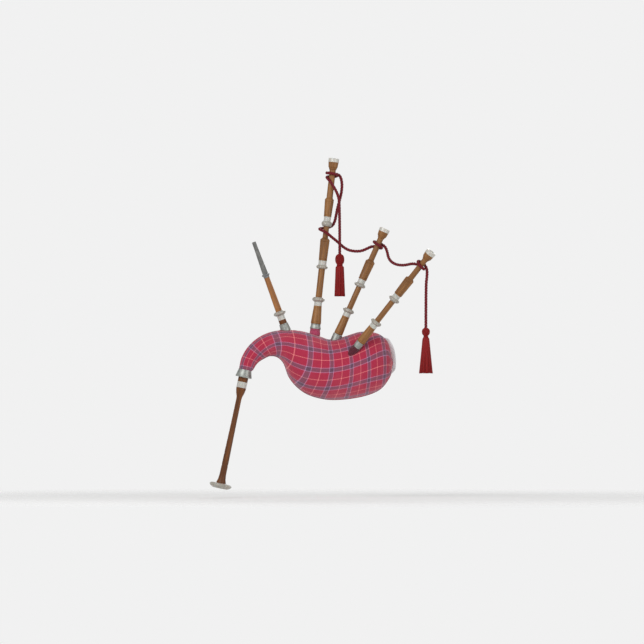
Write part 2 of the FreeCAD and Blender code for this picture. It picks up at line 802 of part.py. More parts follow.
def build_blowpipe():
    way = direction(BLOWPIPE_LEAN)

    def put(name, *solids):
        save(name, *[placed(solid, BLOWPIPE_BASE, way) for solid in solids])

    bore = BLOWPIPE_TENON_R + RUNNING_GAP
    mouth = BLOWPIPE_MOUTH
    stock = turned(
        [
            (bore, BLOWPIPE_STOCK_INNER),
            (BLOWPIPE_STOCK_R, BLOWPIPE_STOCK_INNER, 1.0),
            (BLOWPIPE_STOCK_R, 39.0),
            (12.3, 39.0),
            (12.3, mouth),
            (bore, mouth),
        ]
    )
    put("blowpipe_stock", stock)
    lower = turned(
        [
            (BLOWPIPE_STOCK_R, -6.0),
            (18.5, -6.0, 1.0),
            (18.5, 4.0, 1.0),
            (16.8, 20.0, 1.0),
            (17.2, 21.5, 0.5),
            (17.2, 24.0, 0.8),
            (BLOWPIPE_STOCK_R, 24.0),
        ]
    )
    put("blowpipe_stock_ferrules", lower, ferrule_band(12.3, 14.2, 39.0, mouth))
    put("blowpipe_stock_tie", turned_binding(BLOWPIPE_STOCK_R, -20.0, -12.0))
    seat_low = BLOWPIPE_STOCK_INNER
    seat = tube(5.0, BLOWPIPE_TENON_R, seat_low, seat_low + 10.0)
    put("valve_seat", seat.fuse(Part.makeBox(3.0, 8.0, 1.4, Vector(8.6, -4.0, seat_low - 1.4))))
    flap = Part.makeCylinder(7.4, 1.2, Vector(0, 0, seat_low - 1.4))
    put("valve_flap", flap)

    tenon_low = mouth - 32.0
    stick_r = 12.0
    top_r = 10.0
    stick = turned(
        [
            (BLOWPIPE_BORE, tenon_low),
            (BLOWPIPE_TENON_R, tenon_low, 1.0),
            (BLOWPIPE_TENON_R, tenon_low + 5),
            (BLOWPIPE_TENON_R - HEMP_DEPTH, tenon_low + 5),
            (BLOWPIPE_TENON_R - HEMP_DEPTH, mouth - 5),
            (BLOWPIPE_TENON_R, mouth - 5),
            (BLOWPIPE_TENON_R, mouth + 16.0),
            (stick_r, mouth + 16.0),
            *turned_line(stick_r * 0.95 + top_r * 0.05, mouth + 24.0),
            (top_r, BLOWSTICK_END - 15.0),
            (8.4, BLOWSTICK_END - 15.0),
            (8.4, BLOWSTICK_END),
            (7.0 + RUNNING_GAP, BLOWSTICK_END),
            (7.0 + RUNNING_GAP, BLOWSTICK_END - 24.0),
            (BLOWPIPE_BORE, BLOWSTICK_END - 24.0),
        ]
    )
    put("blowstick", stick)
    knob = projecting_mount(BLOWPIPE_TENON_R, 23.0, mouth + SEAT_GAP, mouth + 16.0)
    flange = turned(
        [
            (8.4, BLOWSTICK_END - 15.0),
            (10.8, BLOWSTICK_END - 15.0, 0.5),
            (11.0, BLOWSTICK_END - 9.0, 1.5),
            (14.8, BLOWSTICK_END - 5.0, 1.2),
            (14.8, BLOWSTICK_END - 2.0, 1.0),
            (11.0, BLOWSTICK_END, 0.8),
            (8.4, BLOWSTICK_END),
        ]
    )
    put("blowstick_mounts", knob, flange)
    put("blowstick_hemp", tube(BLOWPIPE_TENON_R - HEMP_DEPTH, BLOWPIPE_TENON_R, tenon_low + 5, mouth - 5))
    mouthpiece = turned(
        [
            (3.5, BLOWSTICK_END - 23.0),
            (7.0, BLOWSTICK_END - 23.0, 0.8),
            (7.0, BLOWSTICK_END + SEAT_GAP),
            (10.4, BLOWSTICK_END + SEAT_GAP, 0.6),
            (10.0, BLOWSTICK_END + 16.0, 20.0),
            (7.5, MOUTHPIECE_END - 26.0),
            (7.5, MOUTHPIECE_END, 3.0),
            (3.5, MOUTHPIECE_END, 0.8),
        ]
    )
    put("mouthpiece", mouthpiece)


# ---- the cord and its tassels -------------------------------------------------------------


def cord_path(points):
    """Straight runs joined by tangent arcs, each as large as its two runs allow."""
    points = [Vector(*point) for point in points]
    edges = []
    start = points[0]
    for before, here, after in zip(points, points[1:], points[2:]):
        back = before - here
        ahead = after - here
        half_turn = (math.pi - back.getAngle(ahead)) / 2
        cut = 0.45 * min(back.Length, ahead.Length)
        back.normalize()
        ahead.normalize()
        radius = cut / math.tan(half_turn)
        inward = (back + ahead).normalize()
        middle = here + inward * (radius / math.cos(half_turn) - radius)
        first = here + back * cut
        last = here + ahead * cut
        edges.append(Part.LineSegment(start, first).toShape())
        edges.append(Part.Arc(first, middle, last).toShape())
        start = last
    edges.append(Part.LineSegment(start, points[-1]).toShape())
    return Part.Wire(edges)


def build_cord():
    path = cord_path(CORD_ROUTE)
    way = Vector(*CORD_ROUTE[1]) - Vector(*CORD_ROUTE[0])
    ring = Part.Wire([Part.Circle(Vector(*CORD_ROUTE[0]), way, CORD_RADIUS).toShape()])
    save("drone_cord", path.makePipeShell([ring], True, False))


def tassel(skirt_top, skirt_r, skirt_length, knot_r):
    """A tassel that hangs from a cord's end at its origin: a knot, and a skirt below it."""
    knot = turned(
        [
            (0, 0),
            (CORD_RADIUS + 1, 0, 1.0),
            (knot_r, -0.55 * knot_r, 0.5 * knot_r),
            (knot_r, -1.45 * knot_r, 0.5 * knot_r),
            (skirt_r[0] * 0.6, skirt_top + 1.0, 1.0),
            (skirt_r[0] * 0.6, skirt_top),
            (0, skirt_top),
        ]
    )
    low = skirt_top - skirt_length
    skirt = turned(
        [
            (0, skirt_top),
            (skirt_r[0] * 0.75, skirt_top, 1.0),
            (skirt_r[0], skirt_top - 9.0, 3.0),
            (skirt_r[1], low + 8.0, 2.0),
            (skirt_r[1] - 6.0, low, 1.0),
            (0, low),
        ]
    )
    return knot, skirt


def build_tassels():
    near_knot, near_skirt = tassel(-43.0, (15.5, 19.5), 116.0, 17.0)
    far_knot, far_skirt = tassel(-32.0, (12.0, 25.0), 138.0, 14.8)
    down = Vector(0, 0, 1)
    near = CORD_ROUTE[0]
    far = CORD_ROUTE[-1]
    save("cord_tassel_knots", placed(near_knot, near, down), placed(far_knot, far, down))
    save("cord_tassel_skirts", placed(near_skirt, near, down), placed(far_skirt, far, down))


# ---- the whole instrument -----------------------------------------------------------------


def main():
    os.makedirs("parts", exist_ok=True)
    build_bag()
    bass, *tenors = drones()
    build_drone(bass, BASS_MIDDLE, BASS_TOP)
    inner, outer = tenors
    build_drone(inner, None, TENOR_TOP)
    build_drone(outer, None, raised(TENOR_TOP, OUTER_TENOR_TUNING))
    build_chanter()
    build_blowpipe()
    build_cord()
    build_tassels()


main()
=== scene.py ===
import functools
import json
import math
import random

import bmesh
import bpy
import numpy as np
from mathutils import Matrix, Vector
from mathutils.bvhtree import BVHTree
from mathutils.interpolate import poly_3d_calc


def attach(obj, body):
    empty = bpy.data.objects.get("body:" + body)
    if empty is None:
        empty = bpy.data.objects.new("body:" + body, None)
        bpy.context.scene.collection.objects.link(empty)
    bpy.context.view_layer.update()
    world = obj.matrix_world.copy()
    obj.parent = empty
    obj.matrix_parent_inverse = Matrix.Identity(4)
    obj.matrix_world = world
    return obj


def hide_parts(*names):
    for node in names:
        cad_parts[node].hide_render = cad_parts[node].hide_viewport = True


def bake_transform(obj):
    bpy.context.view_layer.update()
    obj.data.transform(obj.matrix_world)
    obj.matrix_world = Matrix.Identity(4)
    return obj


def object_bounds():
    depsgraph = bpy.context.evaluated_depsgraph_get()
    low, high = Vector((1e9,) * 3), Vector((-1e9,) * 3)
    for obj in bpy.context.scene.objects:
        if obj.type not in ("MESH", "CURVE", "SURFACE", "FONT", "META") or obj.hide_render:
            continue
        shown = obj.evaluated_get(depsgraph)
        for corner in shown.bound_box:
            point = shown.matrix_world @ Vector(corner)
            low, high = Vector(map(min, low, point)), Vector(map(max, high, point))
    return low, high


# Bagpipes of the Great Highland form. +Z is up, the chanter is at -X, the outer side at -Y.
# Lengths are in metres, apart from the tables that say they are in millimetres.

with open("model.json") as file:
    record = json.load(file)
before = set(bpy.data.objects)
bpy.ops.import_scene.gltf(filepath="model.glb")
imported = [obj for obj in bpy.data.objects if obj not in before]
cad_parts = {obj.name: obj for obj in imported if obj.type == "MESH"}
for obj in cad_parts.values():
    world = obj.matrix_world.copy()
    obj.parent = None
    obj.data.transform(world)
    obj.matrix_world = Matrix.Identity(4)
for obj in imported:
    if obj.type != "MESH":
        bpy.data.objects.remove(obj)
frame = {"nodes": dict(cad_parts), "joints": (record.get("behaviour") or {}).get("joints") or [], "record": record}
cad_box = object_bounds()
joints = {joint["name"]: joint for joint in frame["joints"]}
draw = random.Random(7)
MM = 0.001

# ---- the camera ---------------------------------------------------------------------------

VIEW_CENTRE = Vector((-0.0407, 0.0, 0.2905))
VIEW_WIDTH = 2.383
LENS = 600.0
SENSOR = 36.0


def shown(name, data):
    """A new object in the scene."""
    thing = bpy.data.objects.new(name, data)
    bpy.context.scene.collection.objects.link(thing)
    return thing


def make_camera():
    data = bpy.data.cameras.new("camera")
    data.lens = LENS
    data.sensor_width = SENSOR
    data.clip_end = 200.0
    camera = shown("camera", data)
    camera.location = VIEW_CENTRE - Vector((0, VIEW_WIDTH * LENS / SENSOR, 0))
    camera.rotation_euler = (math.radians(90), 0, 0)
    bpy.context.scene.camera = camera


# ---- lines and meshes ---------------------------------------------------------------------


def unit(v):
    return v / np.linalg.norm(v)


def lengths_along(points, power=1.0):
    """How far along a line each of its points lies."""
    gaps = np.linalg.norm(np.diff(points, axis=0), axis=1) ** power
    return np.concatenate([[0], np.cumsum(gaps)])


def resampled(points, step):
    """The same line with evenly spaced points."""
    points = np.array(points, float)
    lengths = lengths_along(points)
    at = np.linspace(0, lengths[-1], max(2, round(lengths[-1] / step) + 1))
    return np.column_stack([np.interp(at, lengths, points[:, i]) for i in range(3)])


def eased(points, knots, between):
    """A cubic through the points, with this many steps from each to the next."""
    slopes = np.gradient(points, knots, axis=0)
    rows = []
    for i in range(len(points) - 1):
        span = knots[i + 1] - knots[i]
        for t in np.linspace(0, 1, between, endpoint=False):
            rows.append(
                (2 * t**3 - 3 * t**2 + 1) * points[i]
                + (t**3 - 2 * t**2 + t) * span * slopes[i]
                + (3 * t**2 - 2 * t**3) * points[i + 1]
                + (t**3 - t**2) * span * slopes[i + 1]
            )
    return np.array([*rows, points[-1]])


def sideways(line):
    """Two directions across a line at each of its points, carried along it without a twist."""
    ahead = np.gradient(line, axis=0)
    ahead /= np.linalg.norm(ahead, axis=1)[:, None]
    start = np.array((0.0, 1.0, 0.0)) if abs(ahead[0][1]) < 0.9 else np.array((1.0, 0.0, 0.0))
    across = []
    for way in ahead:
        start = unit(start - way * (start @ way))
        across.append(start)
    across = np.array(across)
    return across, np.cross(ahead, across)


def pair_across(way):
    """Two directions at right angles to one way and to each other."""
    way = Vector(way).normalized()
    first = Vector((0, -1, 0)) - way * way.dot(Vector((0, -1, 0)))
    first.normalize()
    return first, way.cross(first)


def spoke(pair, angle):
    """The direction at an angle between the two directions of a pair."""
    return pair[0] * math.cos(angle) + pair[1] * math.sin(angle)


def circle(centre, way, radius, count):
    """Points evenly spaced round a circle that faces along way."""
    pair = pair_across(way)
    return [centre + spoke(pair, 2 * math.pi * i / count) * radius for i in range(count)]


def rings(line, across, up, radius, sides):
    """A ring of points round each point of a line."""
    angles = np.linspace(0, 2 * math.pi, sides, endpoint=False)[None, :, None]
    ring = np.cos(angles) * across[:, None] + np.sin(angles) * up[:, None]
    return line[:, None] + ring * np.broadcast_to(radius, len(line))[:, None, None]


class Mesh:
    """Gathers tubes and turned forms into one mesh with a map of length along and turn around."""

    CORNERS = ((0, 0), (0, 1), (1, 1), (1, 0))

    def __init__(self):
        self.points = []
        self.faces = []
        self.places = []
        self.kinds = []

    def sheet(self, rows, along, kind=0):
        """A grid of points, each row's last point joined to its first."""
        rows = np.asarray(rows, float)
        count, width = rows.shape[:2]
        first = len(self.points)
        self.points += [tuple(p) for p in rows.reshape(-1, 3)]
        for i in range(count - 1):
            for j in range(width):
                k = (j + 1) % width
                low, high = first + i * width, first + (i + 1) * width
                self.faces.append((low + j, low + k, high + k, high + j))
                self.places += [(along[i + m], (j + n) / width) for m, n in self.CORNERS]
                self.kinds.append(kind)
        return first, count, width

    def lid(self, indices, kind=0):
        self.faces.append(tuple(indices))
        self.places += [(0.0, 0.0)] * len(indices)
        self.kinds.append(kind)

    def closed(self, rows, along, kind=0):
        """A grid of points with a lid on its first and last rows."""
        first, count, width = self.sheet(rows, along, kind=kind)
        self.lid(range(first + width - 1, first - 1, -1), kind)
        last = first + (count - 1) * width
        self.lid(range(last, last + width), kind)

    def tube(self, line, radius, sides=8, kind=0):
        """A round tube along a line; radius is one number or one for each point."""
        line = np.asarray(line, float)
        rows = rings(line, *sideways(line), radius, sides)
        self.closed(rows, lengths_along(line), kind)

    def loop(self, line, radius, sides=8, kind=0):
        """A round tube along a closed line."""
        line = np.asarray(line, float)
        ahead = np.roll(line, -1, axis=0) - np.roll(line, 1, axis=0)
        ahead /= np.linalg.norm(ahead, axis=1)[:, None]
        centre = line.mean(axis=0)
        up = unit(np.cross(line[0] - centre, line[len(line) // 4] - centre))
        across = np.cross(ahead, up)
        across /= np.linalg.norm(across, axis=1)[:, None]
        rows = rings(line, across, np.cross(ahead, across), radius, sides)
        rows = np.concatenate([rows, rows[:1]])
        self.sheet(rows, lengths_along(np.concatenate([line, line[:1]])), kind=kind)

    def turned(self, outline, base, way, segments, bulge=lambda height, angle: 0.0):
        """A turned form from (radius, height) corners; bulge(height, angle) adds to the radius."""
        pair = pair_across(way)
        rows = []
        for radius, height in outline:
            row = []
            for i in range(segments):
                angle = 2 * math.pi * i / segments
                row.append(base + way * height + spoke(pair, angle) * (radius + bulge(height, angle)))
            rows.append(row)
        self.sheet(rows, lengths_along(np.array(outline)))

    def build(self, name, *materials):
        """Makes the mesh an object in the scene; each face's kind says which material it has."""
        data = bpy.data.meshes.new(name)
        data.from_pydata(self.points, [], self.faces)
        layer = data.uv_layers.new(name="thread")
        layer.data.foreach_set("uv", np.array(self.places, np.float32).ravel())
        data.polygons.foreach_set("material_index", self.kinds)
        data.polygons.foreach_set("use_smooth", [True] * len(self.faces))
        work = bmesh.new()
        work.from_mesh(data)
        bmesh.ops.recalc_face_normals(work, faces=work.faces)
        work.to_mesh(data)
        work.free()
        for material in materials:
            data.materials.append(material)
        return shown(name, data)


def apply_modifiers(piece):
    """Replaces a piece's mesh with the one that its modifiers make."""
    depsgraph = bpy.context.evaluated_depsgraph_get()
    made = bpy.data.meshes.new_from_object(piece.evaluated_get(depsgraph), depsgraph=depsgraph)
    piece.modifiers.clear()
    old = piece.data
    piece.data = made
    bpy.data.meshes.remove(old)


def points_of(data):
    return np.array([tuple(vertex.co) for vertex in data.vertices])


def skin_of(data):
    """A mesh's points and faces, and a tree that finds places on them."""
    points = [vertex.co.copy() for vertex in data.vertices]
    faces = [tuple(face.vertices) for face in data.polygons]
    return points, faces, BVHTree.FromPolygons(points, faces)


def axis_of(joint):
    """A point on a pipe's axis, and the way that the pipe points."""
    return Vector(joints[joint]["pos_m"]), Vector(joints[joint]["axis"]).normalized()


# ---- materials ----------------------------------------------------------------------------


def srgb(red, green, blue):
    """A colour from its 0 to 255 values, as the shader takes it."""
    parts = [c / 255 for c in (red, green, blue)]
    return (*[c / 12.92 if c <= 0.04045 else ((c + 0.055) / 1.055) ** 2.4 for c in parts], 1.0)


class Finish:
    """One material, and short calls that add and wire its nodes."""

    def __init__(self, name, **shader):
        self.material = bpy.data.materials.new(name)
        self.material.use_nodes = True
        self.tree = self.material.node_tree
        self.shader = self.tree.nodes["Principled BSDF"]
        self.last_bump = None
        for socket, value in shader.items():
            self.feed(self.shader.inputs[socket.replace("_", " ")], value)

    def feed(self, socket, value):
        if isinstance(value, bpy.types.NodeSocket):
            self.tree.links.new(value, socket)
        else:
            socket.default_value = value

    def add(self, kind, sockets, **settings):
        node = self.tree.nodes.new("ShaderNode" + kind)
        for key, value in settings.items():
            setattr(node, key, value)
        for key, value in sockets.items():
            self.feed(node.inputs[key], value)
        return node

    def math(self, operation, *values):
        return self.add("Math", dict(enumerate(values)), operation=operation).outputs[0]

    def times(self, first, second):
        return self.math("MULTIPLY", first, second)

    def wave(self, value, step):
        """A sine that repeats at every step of the value."""
        return self.math("SINE", self.times(value, 2 * math.pi / step))

    def ridges(self, turns):
        """Rounded ridges with a sharp valley at each whole number of turns."""
        return self.math("ABSOLUTE", self.math("SINE", self.times(turns, math.pi)))

    def drawn(self, point, share):
        """A place whose Z counts for only a share, so that a pattern is drawn out along the pipe."""
        return self.vector("MULTIPLY", point, (1.0, 1.0, share))

    def vector(self, operation, *values):
        node = self.add("VectorMath", dict(enumerate(values)), operation=operation)
        return node.outputs["Value" if operation in ("DOT_PRODUCT", "LENGTH") else "Vector"]

    def joined(self, x, y, z):
        return self.add("CombineXYZ", {0: x, 1: y, 2: z}).outputs[0]

    def mix(self, share, first, second):
        node = self.add("Mix", {0: share, 6: first, 7: second}, data_type="RGBA")
        return node.outputs[2]

    def between(self, value, low, high, start=0.0, end=1.0):
        """value's place between low and high, eased, as a number from start to end."""
        sockets = {0: value, 1: low, 2: high, 3: start, 4: end}
        return self.add("MapRange", sockets, interpolation_type="SMOOTHSTEP").outputs[0]

    def noise(self, where, scale, detail=3.0, rough=0.55):
        sockets = {"Vector": where, "Scale": scale, "Detail": detail, "Roughness": rough}
        return self.add("TexNoise", sockets).outputs["Fac"]

    def cells(self, where, scale, feature="F1"):
        sockets = {"Vector": where, "Scale": scale}
        return self.add("TexVoronoi", sockets, feature=feature).outputs["Distance"]

    def place(self):
        """A point's place in the object's own frame."""
        return self.add("TexCoord", {}).outputs["Object"]

    def map(self, name):
        """The two numbers of one of the mesh's maps."""
        found = self.add("UVMap", {}, uv_map=name).outputs[0]
        node = self.add("SeparateXYZ", {0: found})
        return node.outputs[0], node.outputs[1]

    def about(self, base, way):
        """A place turned so that its Z is the height along a pipe, and the angle round it."""
        from_base = self.vector("SUBTRACT", self.place(), tuple(base))
        first, second = pair_across(way)
        x, y, z = (self.vector("DOT_PRODUCT", from_base, tuple(v)) for v in (first, second, way))
        return self.joined(x, y, z), z, self.math("ARCTAN2", y, x)

    def bump(self, height, depth, strength=1.0):
        """Adds relief: height from 0 to 1 stands for depth metres."""
        sockets = {"Strength": strength, "Distance": depth, "Height": height}
        if self.last_bump:
            sockets["Normal"] = self.last_bump
        self.last_bump = self.add("Bump", sockets).outputs[0]
        self.feed(self.shader.inputs["Normal"], self.last_bump)

    def colour(self, value):
        self.feed(self.shader.inputs["Base Color"], value)

    def roughness(self, value):
        self.feed(self.shader.inputs["Roughness"], value)


def faded(colour, share):
    """A colour with only a share of its light."""
    return (*[share * c for c in colour[:3]], 1.0)


def turned_wood(name, light, dark, base, way, polish):
    """Oiled hardwood turned on a lathe: streaks along the pipe, pores, fine tool rings, handling."""
    f = Finish(name, Coat_Weight=0.08, Coat_Roughness=0.22, Specular_IOR_Level=0.32)
    point, height, _ = f.about(base, way)
    long_way = f.drawn(point, 0.07)
    figure = f.noise(long_way, 70.0, 6.0, 0.62)
    streak = f.noise(f.drawn(point, 0.02), 420.0, 3.0, 0.6)
    pores = f.between(f.noise(f.drawn(point, 0.05), 1500.0, 1.0), 0.60, 0.72)
    broad = f.noise(point, 14.0, 2.0)
    grain = f.math("ADD", f.times(figure, 0.7), f.times(streak, 0.3))
    shade = f.between(grain, 0.36, 0.66)
    wood = f.mix(shade, dark, light)
    wood = f.mix(f.times(f.between(broad, 0.45, 0.7), 0.35), wood, dark)
    wood = f.mix(f.times(pores, 0.55), wood, faded(dark, 0.3))
    f.colour(wood)
    handled = f.noise(point, 30.0, 4.0)
    f.roughness(f.between(handled, 0.3, 0.75, polish, polish + 0.2))
    rings = f.wave(height, 0.0011)
    f.bump(rings, 0.00002, 0.35)
    f.bump(streak, 0.00012, 0.5)
    f.bump(pores, -0.00008, 0.5)
    return f.material


def pale_horn(name, light, dark, base, way):
    """Imitation ivory: faint growth lines, a soft glow, a high polish, dirt in its low places."""
    f = Finish(name, Subsurface_Weight=0.06, Subsurface_Scale=0.004, Coat_Weight=0.35, Coat_Roughness=0.12)
    point, height, _ = f.about(base, way)
    lines = f.noise(f.drawn(point, 0.12), 260.0, 4.0, 0.65)
    cloud = f.noise(point, 45.0, 3.0)
    tone = f.mix(f.between(lines, 0.35, 0.7), dark, light)
    tone = f.mix(f.times(f.between(cloud, 0.5, 0.75), 0.4), tone, dark)
    f.colour(tone)
    f.roughness(f.between(f.noise(point, 120.0, 3.0), 0.3, 0.7, 0.22, 0.38))
    f.bump(f.wave(height, 0.0009), 0.000012, 0.4)
    f.bump(f.noise(point, 900.0, 2.0), 0.00002, 0.3)
    return f.material


def satin_metal(name, light, dark, base, way):
    """A turned metal ferrule: lathe lines round it, a dulled skin, and small scratches."""
    f = Finish(name, Metallic=0.6)
    point, height, angle = f.about(base, way)
    round_way = f.joined(f.times(angle, 0.004), 0.0, height)
    lathe = f.noise(round_way, 2600.0, 2.0, 0.7)
    dull = f.noise(point, 60.0, 5.0, 0.6)
    scratch = f.between(f.noise(f.vector("MULTIPLY", point, (1.0, 3.0, 0.25)), 900.0, 1.0), 0.68, 0.74)
    tone = f.mix(f.between(dull, 0.35, 0.7), dark, light)
    tone = f.mix(f.times(scratch, 0.4), tone, (0.85, 0.86, 0.85, 1.0))
    f.colour(tone)
    f.roughness(f.between(dull, 0.3, 0.75, 0.34, 0.52))
    f.bump(lathe, 0.00003, 0.5)
    f.bump(scratch, -0.00003, 0.4)
    return f.material


def moulded_plastic(name, light, dark):
    """Dull moulded plastic, rubbed where teeth and fingers hold it."""
    f = Finish(name, Specular_IOR_Level=0.4)
    point = f.place()
    rubbed = f.noise(point, 55.0, 4.0)
    f.colour(f.mix(f.between(rubbed, 0.35, 0.7), dark, light))
    f.roughness(f.between(rubbed, 0.3, 0.7, 0.5, 0.34))
    f.bump(f.noise(point, 2200.0, 2.0), 0.00003, 0.5)
    f.bump(f.between(f.noise(point, 300.0, 2.0), 0.62, 0.75), -0.00004, 0.4)
    return f.material


def wound_thread(name, light, dark, base, way):
    """Waxed hemp wound closely round a pipe."""
    f = Finish(name, Sheen_Weight=0.2, Sheen_Roughness=0.5)
    point, height, angle = f.about(base, way)
    pitch = 0.0008
    turns = f.math("ADD", f.math("DIVIDE", height, pitch), f.math("DIVIDE", angle, 2 * math.pi))
    thread = f.ridges(turns)
    fibres = f.noise(point, 2400.0, 3.0, 0.7)
    # The grooves between the turns are painted darker, a painted shade, with the fibres' random tone over it.
    f.colour(f.mix(f.times(thread, f.between(fibres, 0.2, 0.7)), dark, light))
    f.roughness(0.75)
    f.bump(thread, 0.0003, 0.8)
    f.bump(fibres, 0.0001, 0.4)
    return f.material


def split_cane(name, light, dark, base, way):
    """Cane: straight fibres along the reed and a waxy skin."""
    f = Finish(name)
    point, _, _ = f.about(base, way)
    fibres = f.noise(f.drawn(point, 0.03), 1500.0, 3.0, 0.6)
    spots = f.between(f.noise(point, 260.0, 2.0), 0.62, 0.75)
    tone = f.mix(f.between(fibres, 0.35, 0.7), dark, light)
    f.colour(f.mix(f.times(spots, 0.5), tone, dark))
    f.roughness(f.between(fibres, 0.3, 0.7, 0.45, 0.65))
    f.bump(fibres, 0.00008, 0.6)
    return f.material


def grained_leather(name, light, dark):
    """Pale leather: a pebbled grain, creases and rubbed patches."""
    f = Finish(name, Specular_IOR_Level=0.35)
    point = f.place()
    wander = f.mix(0.02, point, f.add("TexNoise", {"Scale": 90.0}).outputs["Color"])
    pebble = f.cells(wander, 650.0)
    crease = f.cells(wander, 150.0, "DISTANCE_TO_EDGE")
    worn = f.noise(point, 26.0, 5.0, 0.6)
    tone = f.mix(f.between(worn, 0.35, 0.7), dark, light)
    # The creases are painted darker: painted shade in their low lines.
    tone = f.mix(f.between(crease, 0.0, 0.06, 0.35, 0.0), tone, faded(dark, 0.5))
    f.colour(tone)
    f.roughness(f.between(worn, 0.3, 0.7, 0.5, 0.7))
    f.bump(pebble, -0.0002, 0.6)
    f.bump(f.between(crease, 0.0, 0.1), 0.00025, 0.5)
    return f.material


def twisted_silk(name, light, dark, pitch, glow):
    """Twisted silk thread: the twist follows the mesh's map along and around each strand."""
    f = Finish(name, Sheen_Weight=glow, Sheen_Roughness=0.35, Specular_IOR_Level=0.3)
    along, around = f.map("thread")
    turns = f.math("ADD", f.math("DIVIDE", along, pitch), around)
    yarn = f.ridges(turns)
    point = f.place()
    fibre = f.noise(f.joined(f.times(along, 0.3), around, 0.0), 420.0, 3.0, 0.7)
    fade = f.noise(point, 35.0, 3.0)
    # The valleys of the twist are painted darker, a painted shade, mixed with the fibres' random tone; the fade
    # then adds random lighter patches.
    tone = f.mix(f.between(f.times(yarn, f.math("ADD", fibre, 0.45)), 0.15, 0.85), dark, light)
    f.colour(f.mix(f.times(f.between(fade, 0.5, 0.75), 0.25), tone, light))
    f.roughness(f.between(fibre, 0.2, 0.8, 0.38, 0.6))
    f.bump(yarn, 0.00035, 0.8)
    f.bump(fibre, 0.0001, 0.4)
    return f.material


def woven_wool(name, light, dark, thread):
    """Plain woven wool in one colour, with its fuzz."""
    f = Finish(name, Sheen_Weight=0.35, Sheen_Roughness=0.5, Specular_IOR_Level=0.25)
    point = f.place()
    across, along = f.map("thread")
    warp = f.math("SINE", f.times(across, math.pi / thread))
    weft = f.math("SINE", f.times(along, math.pi * 0.12 / thread))
    weave = f.times(warp, weft)
    fuzz = f.noise(point, 1400.0, 3.0, 0.7)
    fade = f.noise(point, 40.0, 4.0)
    # The weave's high places are painted lighter and its hollows darker, a small painted shade, over the fuzz's
    # random tone.
    tone = f.mix(f.between(f.math("ADD", f.times(weave, 0.2), fuzz), 0.3, 0.8), dark, light)
    f.colour(f.mix(f.times(f.between(fade, 0.5, 0.75), 0.3), tone, dark))
    f.roughness(0.9)
    f.bump(weave, 0.00025, 0.6)
    f.bump(fuzz, 0.0002, 0.4)
    return f.material


# The tartan's sett, in metres: how far apart its bands are, and half the widths of its stripes.
CROSS_PERIOD = 0.081
CROSS_START = 0.022
LONG_PERIOD = 0.070
LONG_START = 0.040
BAND_HALF = 0.0066
EDGE_HALF = 0.0090
LINE_HALF = 0.0013
YARN = 0.0011

GROUND = srgb(178, 42, 72)
SLATE = srgb(66, 92, 112)
LILAC = srgb(206, 144, 182)
SALMON = srgb(255, 148, 146)
DEEP = srgb(110, 66, 88)


def tartan():
    """Wool in a two and two twill: each yarn keeps its stripe's colour, so stripes mix where they cross."""
    f = Finish("tartan", Sheen_Weight=0.3, Sheen_Roughness=0.5, Specular_IOR_Level=0.25)
    along, around = f.map("cloth")
    point = f.place()

    def yarns(where, start, period):
        away = f.math("PINGPONG", f.math("SUBTRACT", where, start), period / 2)
        band = f.math("LESS_THAN", away, BAND_HALF)
        tone = f.mix(f.math("LESS_THAN", away, EDGE_HALF), GROUND, LILAC)
        tone = f.mix(band, tone, SLATE)
        return f.mix(f.math("GREATER_THAN", away, period / 2 - LINE_HALF), tone, SALMON), band

    warp, warp_band = yarns(along, CROSS_START, CROSS_PERIOD)
    weft, weft_band = yarns(around, LONG_START, LONG_PERIOD)
    i = f.math("DIVIDE", along, YARN)
    j = f.math("DIVIDE", around, YARN)
    step = f.math("ADD", f.math("FLOOR", i), f.math("FLOOR", j))
    over = f.math("LESS_THAN", f.math("FLOORED_MODULO", step, 4.0), 2.0)
    tone = f.mix(f.math("ADD", f.times(over, 0.5), 0.25), warp, weft)
    tone = f.mix(f.times(f.times(warp_band, weft_band), 0.8), tone, DEEP)
    heather = f.noise(point, 900.0, 3.0, 0.7)
    fade = f.noise(point, 9.0, 4.0, 0.6)
    tone = f.mix(f.between(heather, 0.3, 0.75, 0.0, 0.16), tone, (0.08, 0.01, 0.02, 1.0))
    tone = f.mix(f.between(fade, 0.45, 0.8, 0.0, 0.14), tone, srgb(214, 130, 140))
    f.colour(tone)
    f.roughness(f.between(heather, 0.3, 0.7, 0.82, 0.95))
    bars_i = f.ridges(i)
    bars_j = f.ridges(j)
    under = f.math("SUBTRACT", 1.0, over)
    rib = f.math("ADD", f.times(over, bars_j), f.times(under, bars_i))
    f.bump(rib, 0.00022, 0.7)
    f.bump(heather, 0.00018, 0.4)
    return f.material


# ---- the cord -----------------------------------------------------------------------------

